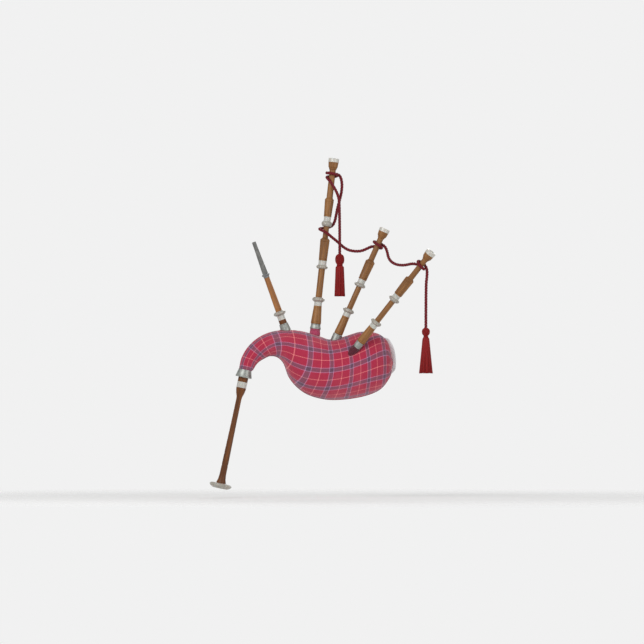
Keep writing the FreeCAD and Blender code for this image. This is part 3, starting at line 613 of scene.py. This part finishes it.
# The cord's route in millimetres, from the near tassel to the far one. It runs on into the head of
# each tassel, whose own top is this much higher.
CORD_RUN_ON = 0.024
CORD_ROUTE = [
    (25, 12, 520), (25, 12, 728), (19, 14, 760), (7, 17, 784),
    (-8, 19, 809), (-20, 28, 822), (-24, 46, 828), (-10, 61, 830), (8, 58, 829), (18, 41, 833),
    (10, 23, 838), (-11, 20, 842), (-25, 37, 843), (-19, 57, 843), (-1, 65, 841), (18, 53, 838),
    (28, 44, 830), (34, 45, 804), (32, 48, 773), (25, 48, 743), (17, 47, 714), (12, 46, 688), (7, 45, 663),
    (-3, 50, 645), (-22, 59, 640), (-45, 50, 637), (-51, 28, 635), (-41, 9, 630), (-22, 3, 620),
    (-3, 7, 603), (19, 22, 586), (39, 26, 567), (59, 20, 556), (82, 11, 552), (105, 4, 553), (124, 1, 561),
    (140, 4, 569),
    (154, 7, 571), (170, 6, 565), (181, -9, 563), (178, -26, 568), (163, -31, 578), (151, -20, 587),
    (153, -2, 588), (167, 8, 583), (183, 1, 577),
    (194, -9, 568), (201, -22, 550), (204, -39, 531), (213, -58, 515), (230, -79, 504), (250, -102, 500),
    (270, -123, 501), (290, -142, 506),
    (309, -154, 504), (325, -151, 493), (336, -164, 485), (333, -182, 486), (321, -191, 496),
    (312, -183, 510), (314, -166, 516), (326, -154, 511), (340, -158, 499),
    (347, -167, 483), (346, -171, 455), (342, -172, 428), (342, -172, 246),
]
CORD_DIAMETER = 0.0105
CORD_STRANDS = 3
CORD_LAY = 0.030
STRAND_RADIUS = 0.29 * CORD_DIAMETER
STRAND_OFFSET = 0.26 * CORD_DIAMETER


def cord_line():
    """The cord's centreline: a smooth spline with the route's points as its control points."""
    curve = bpy.data.curves.new("cord_route", "CURVE")
    curve.dimensions = "3D"
    curve.resolution_u = 12
    spline = curve.splines.new("NURBS")
    spline.points.add(len(CORD_ROUTE) - 1)
    for point, place in zip(spline.points, CORD_ROUTE):
        point.co = (*[c * MM for c in place], 1.0)
    spline.order_u = 3
    spline.use_endpoint_u = True
    holder = shown("cord_route", curve)
    bpy.context.view_layer.update()
    read = bpy.data.meshes.new_from_object(holder)
    line = points_of(read)
    bpy.data.objects.remove(holder)
    bpy.data.meshes.remove(read)
    return resampled(line, 0.0025)


def build_cord(silk):
    """A rope of three strands laid round its centreline."""
    line = cord_line()
    across, up = sideways(line)
    along = np.arange(len(line)) * np.linalg.norm(line[1] - line[0])
    mesh = Mesh()
    for k in range(CORD_STRANDS):
        angle = 2 * math.pi * (along / CORD_LAY + k / CORD_STRANDS)
        side = np.cos(angle)[:, None] * across + np.sin(angle)[:, None] * up
        mesh.tube(line + STRAND_OFFSET * side, STRAND_RADIUS, sides=10)
    cord = mesh.build("drone_cord_rope", silk)
    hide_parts("drone_cord")
    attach(cord, "bag")
    return cord, line


# Each tassel's head and skirt in metres: the head's radius, then the skirt's top below the cord's
# end, its radii at its top and bottom, and its length.
TASSELS = {
    "near": (0.0170, 0.043, (0.0155, 0.0195), 0.116),
    "far": (0.0148, 0.032, (0.0120, 0.0250), 0.137),
}
TASSEL_THREADS = (56, 40, 24)
THREAD_RADIUS = 0.00125
THREAD_STEPS = 14
DOWN = Vector((0, 0, -1))

# The cords that bind a tassel's head: how many there are, how thick, and the steps along each one.
HEAD_CORDS = 26
HEAD_CORD_RADIUS = 0.0014
HEAD_COLLAR_RADIUS = 0.0017
HEAD_STEPS = 16
HEAD_TWIST = 0.5


def tassel_head(mesh, end, head_radius, skirt_top, skirt_radius):
    """A ball bound with cords that run over it from top to bottom, with a collar at each end."""
    base = Vector(end)
    top = 0.25 * head_radius
    low = skirt_top - 0.004
    middle = (top + low) / 2
    half = (low - top) / 2

    def radius_at(depth):
        x = (depth - middle) / half
        waist = CORD_DIAMETER / 2 + 0.001 if x < 0 else skirt_radius * 0.55
        return waist + (head_radius - 0.0012 - waist) * math.sqrt(max(0.0, 1 - x * x))

    turns = [math.pi * i / HEAD_STEPS for i in range(HEAD_STEPS + 1)]
    depths = [middle - half * math.cos(turn) for turn in turns]
    mesh.turned([(radius_at(depth) - 0.0006, depth) for depth in depths], base, DOWN, segments=40)
    pair = pair_across(DOWN)
    for k in range(HEAD_CORDS):
        path = []
        for turn, depth in zip(turns, depths):
            angle = 2 * math.pi * k / HEAD_CORDS + HEAD_TWIST * math.sin(turn)
            path.append(base + DOWN * depth + spoke(pair, angle) * radius_at(depth))
        mesh.tube(resampled(path, 0.0015), HEAD_CORD_RADIUS, sides=6)
    collars = [(top - 0.001, CORD_DIAMETER / 2 + 0.0012)]
    collars += [(low, skirt_radius * 0.62), (low + 0.0032, skirt_radius * 0.66)]
    for depth, collar in collars:
        mesh.loop(circle(base + DOWN * depth, DOWN, collar, 40), HEAD_COLLAR_RADIUS)


def tassel_skirt(mesh, end, skirt_top, radii, length):
    """Layers of twisted threads that hang round a core and spread a little to their cut ends."""
    base = Vector(end)
    pair = pair_across(DOWN)
    top_radius, low_radius = radii

    def spread(share):
        """The skirt's radius at a share of its length: a shoulder, a waist, then a slow flare."""
        shoulder = 0.60 + 0.40 * math.sin(min(1.0, share / 0.08) * math.pi / 2)
        return shoulder * (top_radius + (low_radius - top_radius) * share)

    core = [(spread(s) * 0.72, skirt_top + s * length * 0.97) for s in (0.0, 0.03, 0.08, 0.4, 0.8, 1.0)]
    mesh.turned([(0.0002, skirt_top), *core, (0.0002, core[-1][1])], base, DOWN, segments=24)
    for layer, count in enumerate(TASSEL_THREADS):
        inset = 1.0 - 0.10 * layer
        for k in range(count):
            angle = 2 * math.pi * (k + draw.uniform(-0.3, 0.3)) / count
            sway = draw.uniform(-0.05, 0.05)
            depth = draw.uniform(-0.0010, 0.0008)
            reach = length - abs(draw.gauss(0.0, 0.0018))
            path = []
            for i in range(THREAD_STEPS + 1):
                share = i / THREAD_STEPS
                turn = angle + sway * share + 0.02 * math.sin(7 * share + k)
                radius = spread(share) * inset - THREAD_RADIUS + depth * share
                path.append(base + DOWN * (skirt_top + share * reach) + spoke(pair, turn) * radius)
            thick = np.full(THREAD_STEPS + 1, THREAD_RADIUS)
            thick[-1] *= 1.25
            mesh.tube(path, thick, sides=6)


def build_tassels(line, silk):
    """The two tassels on the cord's ends; the cord runs on into their heads."""
    pieces = []
    for name, end in (("near", line[0]), ("far", line[-1])):
        head_radius, skirt_top, radii, length = TASSELS[name]
        end = end + np.array((0, 0, CORD_RUN_ON))
        head = Mesh()
        tassel_head(head, end, head_radius, skirt_top, radii[0])
        skirt = Mesh()
        tassel_skirt(skirt, end, skirt_top, radii, length)
        parts = (("head", head, "cord_tassel_knots"), ("skirt", skirt, "cord_tassel_skirts"))
        for part, mesh, node in parts:
            piece = mesh.build(f"{name}_tassel_{part}", silk)
            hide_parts(node)
            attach(piece, "bag")
            pieces.append(piece)
    return pieces


# ---- the bag ------------------------------------------------------------------------------

# The bag's slices from its neck to its rear, in millimetres: the top and bottom points of the
# side view and the half width, then the cloth's own measures: how far along it the slice lies, and
# how far round it the slice's top and bottom are.
BAG_SLICES = [
    ((-353, 105), (-304, 95), 25, 0, 0, 137),
    ((-350, 120), (-301, 110), 25, 15, 0, 137),
    ((-341, 159), (-285, 139), 29, 53, 0, 151),
    ((-317, 200), (-263, 155), 33, 92, 0, 165),
    ((-278, 235), (-236, 163), 41, 135, 0, 185),
    ((-226, 257), (-206, 159), 52, 180, 0, 210),
    ((-174, 262), (-181, 133), 65, 211, 0, 242),
    ((-122, 257), (-158, 76), 79, 244, 0, 287),
    ((-67, 245), (-104, 26), 90, 286, 2, 318),
    ((-11, 228), (-30, 3), 96, 354, 12, 338),
    ((44, 237), (44, 3), 98, 423, 8, 352),
    ((107, 254), (122, 17), 92, 507, 20, 355),
    ((166, 246), (174, 41), 78, 576, 75, 325),
    ((200, 217), (203, 76), 55, 612, 120, 285),
    ((215, 172), (216, 104), 30, 628, 140, 265),
    ((221, 150), (221, 126), 11, 633, 150, 255),
]
ROWS_BETWEEN = 8
AROUND = 96
BOW = 0.026
NECK_HALF_WIDTH = 0.041
FULL_HALF_WIDTH = 0.098
COVER_INSET = 0.0015
HIDE_INSET = 0.0080
COVER_THICKNESS = 0.0016
CLOTH_DIP = 0.001
HIDE_THICKNESS = 0.0025
SEWN_STEP = 0.0022
HEM_RADIUS = 0.0017
SEAM_RADIUS = 0.0015
SEAM_PROUD = 0.0004

# Where each stock comes through the bag: the joint on its axis, then the hole's radius and the
# heights on the axis between which the bag's skin is cut, in metres from the joint. The skin's
# points within reach of a hole are drawn in to its edge.
HOLES = {
    "bass": ("bass_lower_turn", 0.0204, -0.085, 0.05),
    "inner_tenor": ("inner_tenor_lower_turn", 0.0180, -0.085, 0.05),
    "outer_tenor": ("outer_tenor_lower_turn", 0.0158, -0.085, 0.05),
    "blowpipe": ("blowstick_turn", 0.0212, -0.090, 0.03),
}
HOLE_REACH = 0.014


def bag_rows():
    """The bag's slices and the rows between them, in metres."""
    table = np.array([(*top, *bottom, *rest) for top, bottom, *rest in BAG_SLICES]) * MM
    return eased(table, lengths_along(table[:, :4], 0.5), ROWS_BETWEEN)


def bag_form(inset):
    """The bag's form as rows of points, and each point's place on the cloth."""
    rows = []
    places = []
    for top_x, top_z, low_x, low_z, half_width, cloth, first, last in bag_rows():
        centre = np.array(((top_x + low_x) / 2, 0, (top_z + low_z) / 2))
        up = np.array((top_x, 0, top_z)) - centre
        half_height = np.linalg.norm(up)
        bow = BOW * max(0.0, half_width - NECK_HALF_WIDTH) / (FULL_HALF_WIDTH - NECK_HALF_WIDTH)
        up *= 1 - inset / half_height
        side = np.array((0, half_width - inset, 0))
        for k in range(AROUND):
            angle = 2 * math.pi * k / AROUND
            rows.append(centre + up * math.cos(angle) + side * math.sin(angle))
            turn = min(angle, 2 * math.pi - angle) / math.pi
            places.append((cloth - bow * math.sin(angle) ** 2, first + (last - first) * turn))
    count = len(rows) // AROUND
    return np.array(rows).reshape(count, AROUND, 3), np.array(places)


def off_axis(point, base, way):
    """A point's height along an axis, and its way out from the axis."""
    height = (point - base).dot(way)
    return height, point - base - way * height


def open_bag(name, inset, material):
    """The bag's form, open at its neck, with its stock holes; also its pinned points by edge."""
    rows, places = bag_form(inset)
    mesh = Mesh()
    first, count, width = mesh.sheet(rows, np.zeros(len(rows)))
    rear = first + (count - 1) * width
    mesh.lid(range(rear, rear + width))
    piece = mesh.build(name, material)
    data = piece.data
    solid_points, solid_faces, whole = skin_of(data)
    work = bmesh.new()
    work.from_mesh(data)
    edges = {}
    for hole, (joint, radius, low, high) in HOLES.items():
        base, way = axis_of(joint)
        gone = []
        for vertex in work.verts:
            height, across = off_axis(vertex.co, base, way)
            if low < height < high and across.length < radius * 1.02:
                gone.append(vertex)
        bmesh.ops.delete(work, geom=gone, context="VERTS")
        work.verts.index_update()
        ring = []
        for vertex in work.verts:
            height, across = off_axis(vertex.co, base, way)
            if vertex.is_boundary and low < height < high and across.length < radius + HOLE_REACH:
                above = base + across.normalized() * radius + way * high
                hit = whole.ray_cast(above, -way)[0]
                if hit is not None:
                    vertex.co = hit
                    ring.append(vertex)
        near = set(ring)
        for _ in range(3):
            near |= {edge.other_vert(vertex) for vertex in near for edge in vertex.link_edges}
        loose = sorted((vertex for vertex in near if not vertex.is_boundary), key=lambda v: v.index)
        for _ in range(12):
            for vertex in loose:
                around = [edge.other_vert(vertex).co for edge in vertex.link_edges]
                middle = sum(around, Vector()) / len(around)
                vertex.co = whole.find_nearest(vertex.co.lerp(middle, 0.5))[0]
        edges[hole] = ring
    taken = {vertex for ring in edges.values() for vertex in ring}
    edges["neck"] = [vertex for vertex in work.verts if vertex.is_boundary and vertex not in taken]
    pins = {edge: [vertex.index for vertex in ring] for edge, ring in edges.items()}
    work.to_mesh(data)
    work.free()
    lay_cloth(data, whole, solid_points, solid_faces, places)
    return piece, pins


def lay_cloth(data, whole, points, faces, places):
    """Writes each point's place on the cloth into the mesh's map."""
    found = []
    for vertex in data.vertices:
        spot, _, face, _ = whole.find_nearest(vertex.co)
        corners = faces[face]
        shares = poly_3d_calc([points[c] for c in corners], spot)
        found.append(sum(np.array(places[c]) * share for c, share in zip(corners, shares)))
    found = np.array(found)
    layer = data.uv_layers[0]
    layer.name = "cloth"
    corners = [loop.vertex_index for loop in data.loops]
    layer.data.foreach_set("uv", found[corners].astype(np.float32).ravel())


def boundary_loops(data):
    """Each open edge of a mesh as a closed run of vertex indices."""
    work = bmesh.new()
    work.from_mesh(data)
    open_edges = {edge for edge in work.edges if edge.is_boundary}
    loops = []
    while open_edges:
        edge = min(open_edges, key=lambda e: e.index)
        open_edges.discard(edge)
        run = [edge.verts[0], edge.verts[1]]
        while run[-1] is not run[0]:
            step = [e for e in run[-1].link_edges if e in open_edges]
            if not step:
                break
            open_edges.discard(step[0])
            run.append(step[0].other_vert(run[-1]))
        loops.append([vertex.index for vertex in run[:-1]])
    work.free()
    return loops


def settle_cloth(piece, pinned, pressure, spare, most):
    """Lets the cloth settle over the air inside it; no point moves further than most."""
    group = piece.vertex_groups.new(name="pinned")
    group.add(pinned, 1.0, "REPLACE")
    modifier = piece.modifiers.new("cloth", "CLOTH")
    settings = modifier.settings
    settings.quality = 6
    settings.mass = 0.2
    settings.tension_stiffness = 18.0
    settings.compression_stiffness = 18.0
    settings.shear_stiffness = 6.0
    settings.bending_stiffness = 0.25
    settings.use_pressure = True
    settings.uniform_pressure_force = pressure
    settings.shrink_min = -spare
    settings.vertex_group_mass = "pinned"
    settings.effector_weights.gravity = 0.0
    scene = bpy.context.scene
    for moment in range(1, 21):
        scene.frame_set(moment)
    before = points_of(piece.data)
    move = points_of(piece.evaluated_get(bpy.context.evaluated_depsgraph_get()).data) - before
    piece.modifiers.clear()
    piece.vertex_groups.clear()
    scene.frame_set(1)
    size = np.linalg.norm(move, axis=1, keepdims=True)
    move *= most * np.tanh(size / most) / np.maximum(size, 1e-9)
    outward = np.array([tuple(vertex.normal) for vertex in piece.data.vertices])
    rise = np.sum(move * outward, axis=1)
    move += outward * np.maximum(0.0, -CLOTH_DIP - rise)[:, None]
    piece.data.vertices.foreach_set("co", (before + move).ravel())
    piece.data.update()


def smooth_loop(line, times=6):
    """A closed line with its corners eased."""
    line = np.asarray(line, float)
    for _ in range(times):
        line = 0.5 * line + 0.25 * (np.roll(line, 1, axis=0) + np.roll(line, -1, axis=0))
    return line


def even_loop(line, step):
    """A closed line with evenly spaced points, its last one step before its first."""
    closed = np.concatenate([line, line[:1]])
    return resampled(closed, step)[:-1]


STITCH_STEPS = 8
STITCH_LEAN = 0.0012
STITCH_RADIUS = 0.00033


def whip(mesh, line, ahead, outward, radius):
    """Stitches that go round a rolled edge or a piping, at every third point of its line."""
    for place, forward, out in list(zip(line, ahead, outward))[:-1:3]:
        forward = unit(forward)
        out = unit(out - forward * (out @ forward))
        up = np.cross(forward, out)
        stitch = []
        for k in range(STITCH_STEPS + 1):
            share = k / STITCH_STEPS
            side = spoke((out, up), 2 * math.pi * share)
            stitch.append(place + side * (radius + 0.0001) + forward * STITCH_LEAN * (share - 0.5))
        mesh.tube(stitch, STITCH_RADIUS, sides=5, kind=1)


def build_hem(name, line, body, material, thread):
    """A rolled binding along an open edge, whipped down with thread."""
    centre = line.mean(axis=0)
    mesh = Mesh()
    line = even_loop(smooth_loop(line), SEWN_STEP)
    mesh.loop(line, HEM_RADIUS, sides=10)
    ahead = np.roll(line, -1, axis=0) - np.roll(line, 1, axis=0)
    whip(mesh, line, ahead, line - centre, HEM_RADIUS)
    piece = mesh.build(name, material, thread)
    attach(piece, body)


def thicken(piece, thickness):
    """Gives a skin its thickness, inwards."""
    solidify = piece.modifiers.new("solidify", "SOLIDIFY")
    solidify.thickness = thickness
    solidify.offset = -1.0
    apply_modifiers(piece)


def build_cover(cloth, binding, thread):
    """The tartan cover: one skin from the chanter's stock to the rear, held at every stock."""
    piece, pins = open_bag("tartan_cover", COVER_INSET, cloth)
    pinned = sorted({index for ring in pins.values() for index in ring})
    settle_cloth(piece, pinned, pressure=2.5, spare=0.02, most=0.005)
    points = points_of(piece.data)
    for run in boundary_loops(piece.data):
        owner = max(pins, key=lambda edge: len(set(pins[edge]) & set(run)))
        build_hem(f"{owner}_hem", points[run], "neck" if owner == "neck" else "bag", binding, thread)
    subdivide = piece.modifiers.new("subdivide", "SUBSURF")
    subdivide.levels = subdivide.render_levels = 1
    thicken(piece, COVER_THICKNESS)
    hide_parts("bag_cover", "neck_cover")
    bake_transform(piece)
    return piece


def build_seam(cover, material, thread):
    """The piped seam along the cover's underside, from its neck to its rear, whipped down with thread."""
    _, _, skin = skin_of(cover.data)
    line = []
    outward = []
    for top_x, top_z, low_x, low_z, *_ in bag_rows()[2:-ROWS_BETWEEN]:
        low = Vector((low_x, 0, low_z))
        out = (low - Vector((top_x, 0, top_z))).normalized()
        line.append(skin.ray_cast(low + out * 0.03, -out)[0] + out * SEAM_PROUD)
        outward.append(out)
    count = len(line)
    line = resampled(line, SEWN_STEP)
    at = np.linspace(0, count - 1, len(line))
    outward = np.column_stack([np.interp(at, range(count), [out[i] for out in outward]) for i in range(3)])
    mesh = Mesh()
    mesh.tube(line, SEAM_RADIUS, sides=10)
    whip(mesh, line, np.gradient(line, axis=0), outward, SEAM_RADIUS)
    piece = mesh.build("lower_seam", material, thread)
    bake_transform(piece)


def build_hide(leather):
    """The airtight bag of hide inside the cover."""
    piece, _ = open_bag("leather_bag", HIDE_INSET, leather)
    thicken(piece, HIDE_THICKNESS)
    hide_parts("bag_hide", "neck_hide")
    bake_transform(piece)


# ---- the collars, the welt ----------------------------------------------------------------

# The collars, in metres from the joint on each stock's axis: the heights of the low and high end,
# and the radii there.
COLLARS = {
    "bass": ("bass_lower_turn", -0.026, -0.0035, 0.0202, 0.0183),
    "outer_tenor": ("outer_tenor_lower_turn", -0.047, -0.009, 0.0152, 0.0150),
}
PLEATS = 17
PLEAT_DEPTH = 0.00062
TIE_BELOW_END = 0.0055
TIE_RADIUS = 0.0008


def build_collar(name, joint, low, high, low_radius, high_radius, cloth):
    """A sleeve of cloth gathered round a stock under two turns of its own cord."""
    base, way = axis_of(joint)
    mesh = Mesh()
    tie = high - TIE_BELOW_END

    def gathers(height, angle):
        free = min(1.0, abs(height - tie) / 0.006)
        wave = math.sin(PLEATS * angle) + 0.35 * math.sin((2 * PLEATS + 3) * angle + 1.0)
        return PLEAT_DEPTH * wave * (0.35 + 0.65 * free)

    steps = max(10, round((high - low) / 0.0011))
    outline = [(low_radius - 0.0016, low)]
    for i in range(steps + 1):
        height = low + (high - 0.001 - low) * i / steps
        squeeze = 0.0010 * math.exp(-(((height - tie) / 0.0018) ** 2))
        spread = (low_radius - high_radius) * (1 - i / steps) ** 2
        outline.append((high_radius + spread - squeeze, height))
    for inset, drop in ((0.0004, 0.0003), (0.0014, 0.0), (0.0024, 0.0006)):
        outline.append((high_radius - inset, high - drop))
    mesh.turned(outline, base, way, segments=PLEATS * 12, bulge=gathers)
    for turn in (-TIE_RADIUS, TIE_RADIUS):
        mesh.loop(circle(base + way * (tie + turn), way, high_radius - 0.0001, 72), TIE_RADIUS)
    piece = mesh.build(f"{name}_collar", cloth)
    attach(piece, "bag")
    return piece


# The welt's outer edge in the side view, in millimetres, from its top to its bottom.
WELT_EDGE = [(189, 233), (203, 230), (216, 214), (226, 192), (231, 168), (233, 140), (230, 114), (215, 97)]
WELT_HALF = 0.0040
WELT_DEPTH = 0.026
WELT_MIDDLE = (0.150, 0.0, 0.160)
WELT_STEP = 0.002
WELT_STITCH_DEPTH = 0.0048
WELT_STITCH_RADIUS = 0.00045


def smooth_line(points, step):
    """A smooth line through a few points, evenly spaced."""
    points = np.array(points, float)
    return resampled(eased(points, lengths_along(points), 12), step)


def build_welt(leather, thread):
    """The leather welt at the bag's rear: two plies sewn together along their edge."""
    edge = smooth_line([(x * MM, 0.0, z * MM) for x, z in WELT_EDGE], WELT_STEP)
    middle = np.array(WELT_MIDDLE)
    ply = WELT_HALF / 2
    rows = []
    for place in edge:
        inward = unit(middle - place)
        row = [place + inward * WELT_DEPTH + np.array((0, -WELT_HALF, 0))]
        for side in (-1, 1):
            centre = place + inward * ply + np.array((0, side * ply, 0))
            for k in range(9):
                angle = math.pi * k / 8
                out = np.array((0, 1, 0)) * math.cos(angle) + inward * math.sin(angle)
                row.append(centre - out * ply)
        row.append(place + inward * WELT_DEPTH + np.array((0, WELT_HALF, 0)))
        rows.append(row)
    mesh = Mesh()
    mesh.closed(rows, np.arange(len(rows)) * WELT_STEP)
    for side in (-1, 1):
        for i in range(2, len(edge) - 3, 2):
            ends = []
            for place in (edge[i], edge[i + 1]):
                out = np.array((0, side * (WELT_HALF + 0.0002), 0))
                ends.append(place + unit(middle - place) * WELT_STITCH_DEPTH + out)
            start, stop = ends
            sink = np.array((0, -side * 0.0007, 0))
            stitch = [start + sink, start * 0.75 + stop * 0.25, start * 0.25 + stop * 0.75, stop + sink]
            mesh.tube(stitch, WELT_STITCH_RADIUS, sides=6, kind=1)
    piece = mesh.build("rear_welt", leather, thread)
    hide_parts("seam_welt")
    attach(piece, "bag")


# ---- the wooden, pale, metal and reed parts -----------------------------------------------

DRONES = ["bass", "inner_tenor", "outer_tenor"]
PIPES = {
    **{drone: f"{drone}_lower_turn" for drone in DRONES},
    "chanter": "chanter_turn",
    "blow": "blowstick_turn",
    "mouthpiece": "mouthpiece_turn",
    "valve": "blowstick_turn",
}
FINISHES = {
    "drone_wood": (turned_wood, srgb(163, 113, 62), srgb(116, 76, 40), 0.38),
    "stock_wood": (turned_wood, srgb(100, 71, 52), srgb(64, 44, 32), 0.38),
    "blowstick_wood": (turned_wood, srgb(177, 119, 66), srgb(134, 86, 48), 0.4),
    "chanter_wood": (turned_wood, srgb(126, 72, 24), srgb(82, 43, 12), 0.4),
    "pale_mount": (pale_horn, srgb(182, 177, 167), srgb(152, 147, 137)),
    "light_ferrule": (pale_horn, srgb(202, 201, 194), srgb(182, 180, 172)),
    "grey_horn": (pale_horn, srgb(130, 133, 134), srgb(104, 107, 108)),
    "ring_cap_ivory": (pale_horn, srgb(216, 213, 205), srgb(192, 188, 178)),
    "grey_ferrule": (satin_metal, srgb(178, 181, 175), srgb(138, 142, 137)),
    "valve_brass": (satin_metal, srgb(206, 172, 96), srgb(150, 116, 54)),
    "hemp": (wound_thread, srgb(190, 154, 100), srgb(104, 76, 42)),
    "cane": (split_cane, srgb(218, 188, 126), srgb(168, 130, 76)),
}
PLAIN_FINISHES = {
    "mouthpiece_plastic": (srgb(134, 134, 131), srgb(102, 102, 99)),
    "valve_rubber": (srgb(66, 63, 61), srgb(40, 38, 38)),
}

# The nodes whose finish isn't their slot's own.
WHOLE_FINISHES = {"chanter_stock_ferrule": "light_ferrule"}

# The nodes that hold two rings of different finish: the second ring's finish, and the heights that
# it lies between, in millimetres from the joint on the pipe's axis.
SECOND_FINISHES = {
    "light_ferrule": {
        "bass_lower_mounts": (82, 98),
        "bass_middle_mounts": (234, 251),
        "bass_top_mounts": (398, 415),
        "inner_tenor_lower_mounts": (87, 103),
        "inner_tenor_top_mounts": (221, 237),
        "outer_tenor_lower_mounts": (87, 103),
        "outer_tenor_top_mounts": (228, 244),
        "blowpipe_stock_ferrules": (-6, 12),
    },
    "grey_horn": {"blowstick_mounts": (160, 175)},
}


def pipes_of(node):
    """The pipe that a node's name starts with, or all three drones."""
    return [pipe for pipe in PIPES if node.startswith(pipe)] or DRONES


@functools.cache
def pipe_material(slot, pipe):
    """The finish of one slot, laid along one pipe's axis."""
    maker, light, dark, *more = FINISHES[slot]
    return maker(f"{slot}_{pipe}", light, dark, *axis_of(PIPES[pipe]), *more)


def finish_nodes():
    """Gives every CAD node that shows its own finish."""
    plain = {slot: moulded_plastic(slot, *tones) for slot, tones in PLAIN_FINISHES.items()}
    for part in frame["record"]["subparts"]:
        name = part["node"]
        slot = WHOLE_FINISHES.get(name, part["material_slot"])
        node = frame["nodes"][name]
        if node.hide_render:
            continue
        if slot in plain:
            materials = [plain[slot]]
        else:
            pipes = pipes_of(name)
            materials = [pipe_material(slot, pipe) for pipe in pipes]
        node.data.materials.clear()
        for material in materials:
            node.data.materials.append(material)
        if len(materials) > 1:
            for face in node.data.polygons:
                gaps = []
                for pipe in pipes:
                    base, way = axis_of(PIPES[pipe])
                    gaps.append(off_axis(face.center, base, way)[1].length)
                face.material_index = gaps.index(min(gaps))
    for finish, rings_of in SECOND_FINISHES.items():
        for name, (low, high) in rings_of.items():
            node = frame["nodes"][name]
            pipe = pipes_of(name)[0]
            base, way = axis_of(PIPES[pipe])
            node.data.materials.append(pipe_material(finish, pipe))
            for face in node.data.polygons:
                if low * MM < off_axis(face.center, base, way)[0] < high * MM:
                    face.material_index = 1


# ---- light and floor ----------------------------------------------------------------------


def build_floor():
    """A wide pale floor that fades out far from the object."""
    low, _ = (Vector(corner) for corner in cad_box)
    mesh = Mesh()
    spread = [(0.001, 0.0), (0.6, 0.0), (1.2, 0.0), (1.9, 0.0), (2.6, 0.0)]
    mesh.turned(spread, Vector((0, 0, low.z - 0.03)), Vector((0, 0, 1)), segments=96)
    f = Finish("floor", Roughness=0.85, Specular_IOR_Level=0.2)
    point = f.place()
    f.colour(f.mix(f.noise(point, 3.0, 4.0), srgb(248, 248, 247), srgb(243, 243, 243)))
    away = f.vector("LENGTH", point)
    f.feed(f.shader.inputs["Alpha"], f.between(away, 0.7, 2.5, 1.0, 0.0))
    floor = mesh.build("floor", f.material)


def build_world(seen, given):
    """A pale grey world: one brightness for the camera's eye, one for the light it gives."""
    world = bpy.data.worlds.new("studio")
    world.use_nodes = True
    tree = world.node_tree
    background = tree.nodes["Background"]
    background.inputs["Color"].default_value = (1.0, 1.0, 1.0, 1.0)
    path = tree.nodes.new("ShaderNodeLightPath")
    strength = tree.nodes.new("ShaderNodeMix")
    strength.inputs[2].default_value = given
    strength.inputs[3].default_value = seen
    tree.links.new(path.outputs["Is Camera Ray"], strength.inputs[0])
    tree.links.new(strength.outputs[0], background.inputs["Strength"])
    bpy.context.scene.world = world


def add_light(name, place, size, power):
    """A soft square light that looks at the middle of the object."""
    data = bpy.data.lights.new(name, "AREA")
    data.size = size
    data.energy = power
    lamp = shown(name, data)
    lamp.location = place
    lamp.rotation_euler = (VIEW_CENTRE - Vector(place)).to_track_quat("-Z", "Y").to_euler()


# ---- the whole ----------------------------------------------------------------------------

make_camera()
bpy.context.scene.view_settings.view_transform = "Standard"
build_world(seen=0.88, given=0.46)
add_light("key", (-2.2, -3.4, 2.4), 2.6, 94.0)
add_light("fill", (3.2, -3.0, 0.8), 3.0, 54.0)
add_light("back", (0.6, 3.4, 2.0), 2.4, 40.0)
build_floor()

cord_silk = twisted_silk("cord_silk", srgb(124, 18, 33), srgb(74, 7, 15), 0.004, glow=0.05)
tassel_silk = twisted_silk("tassel_silk", srgb(152, 16, 17), srgb(104, 8, 9), 0.0028, glow=0.05)
cord, cord_path = build_cord(cord_silk)
tassels = build_tassels(cord_path, tassel_silk)

binding_wool = woven_wool("binding_wool", srgb(168, 44, 74), srgb(118, 26, 48), 0.0009)
sewing_thread = twisted_silk("sewing_thread", srgb(150, 40, 62), srgb(96, 20, 38), 0.0012, glow=0.1)
pale_thread = twisted_silk("pale_thread", srgb(226, 222, 212), srgb(168, 160, 146), 0.0012, glow=0.1)
hide_leather = grained_leather("hide_leather", srgb(236, 235, 238), srgb(214, 212, 214))
build_hide(hide_leather)
cover = build_cover(tartan(), binding_wool, sewing_thread)
build_seam(cover, binding_wool, sewing_thread)
bass_collar_wool = woven_wool("bass_collar_wool", srgb(204, 88, 122), srgb(160, 58, 90), 0.0009)
# The outer tenor's collar is the same sleeve of cover cloth as the bass collar; its dark maroon colour is painted
# shade.
outer_collar_painted_shade_wool = woven_wool("outer_collar_painted_shade_wool", srgb(106, 34, 52), srgb(70, 18, 32), 0.0009)
bass_collar = build_collar("bass", *COLLARS["bass"], bass_collar_wool)
build_collar("outer_tenor", *COLLARS["outer_tenor"], outer_collar_painted_shade_wool)
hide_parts("cover_collars")
build_welt(hide_leather, pale_thread)
finish_nodes()
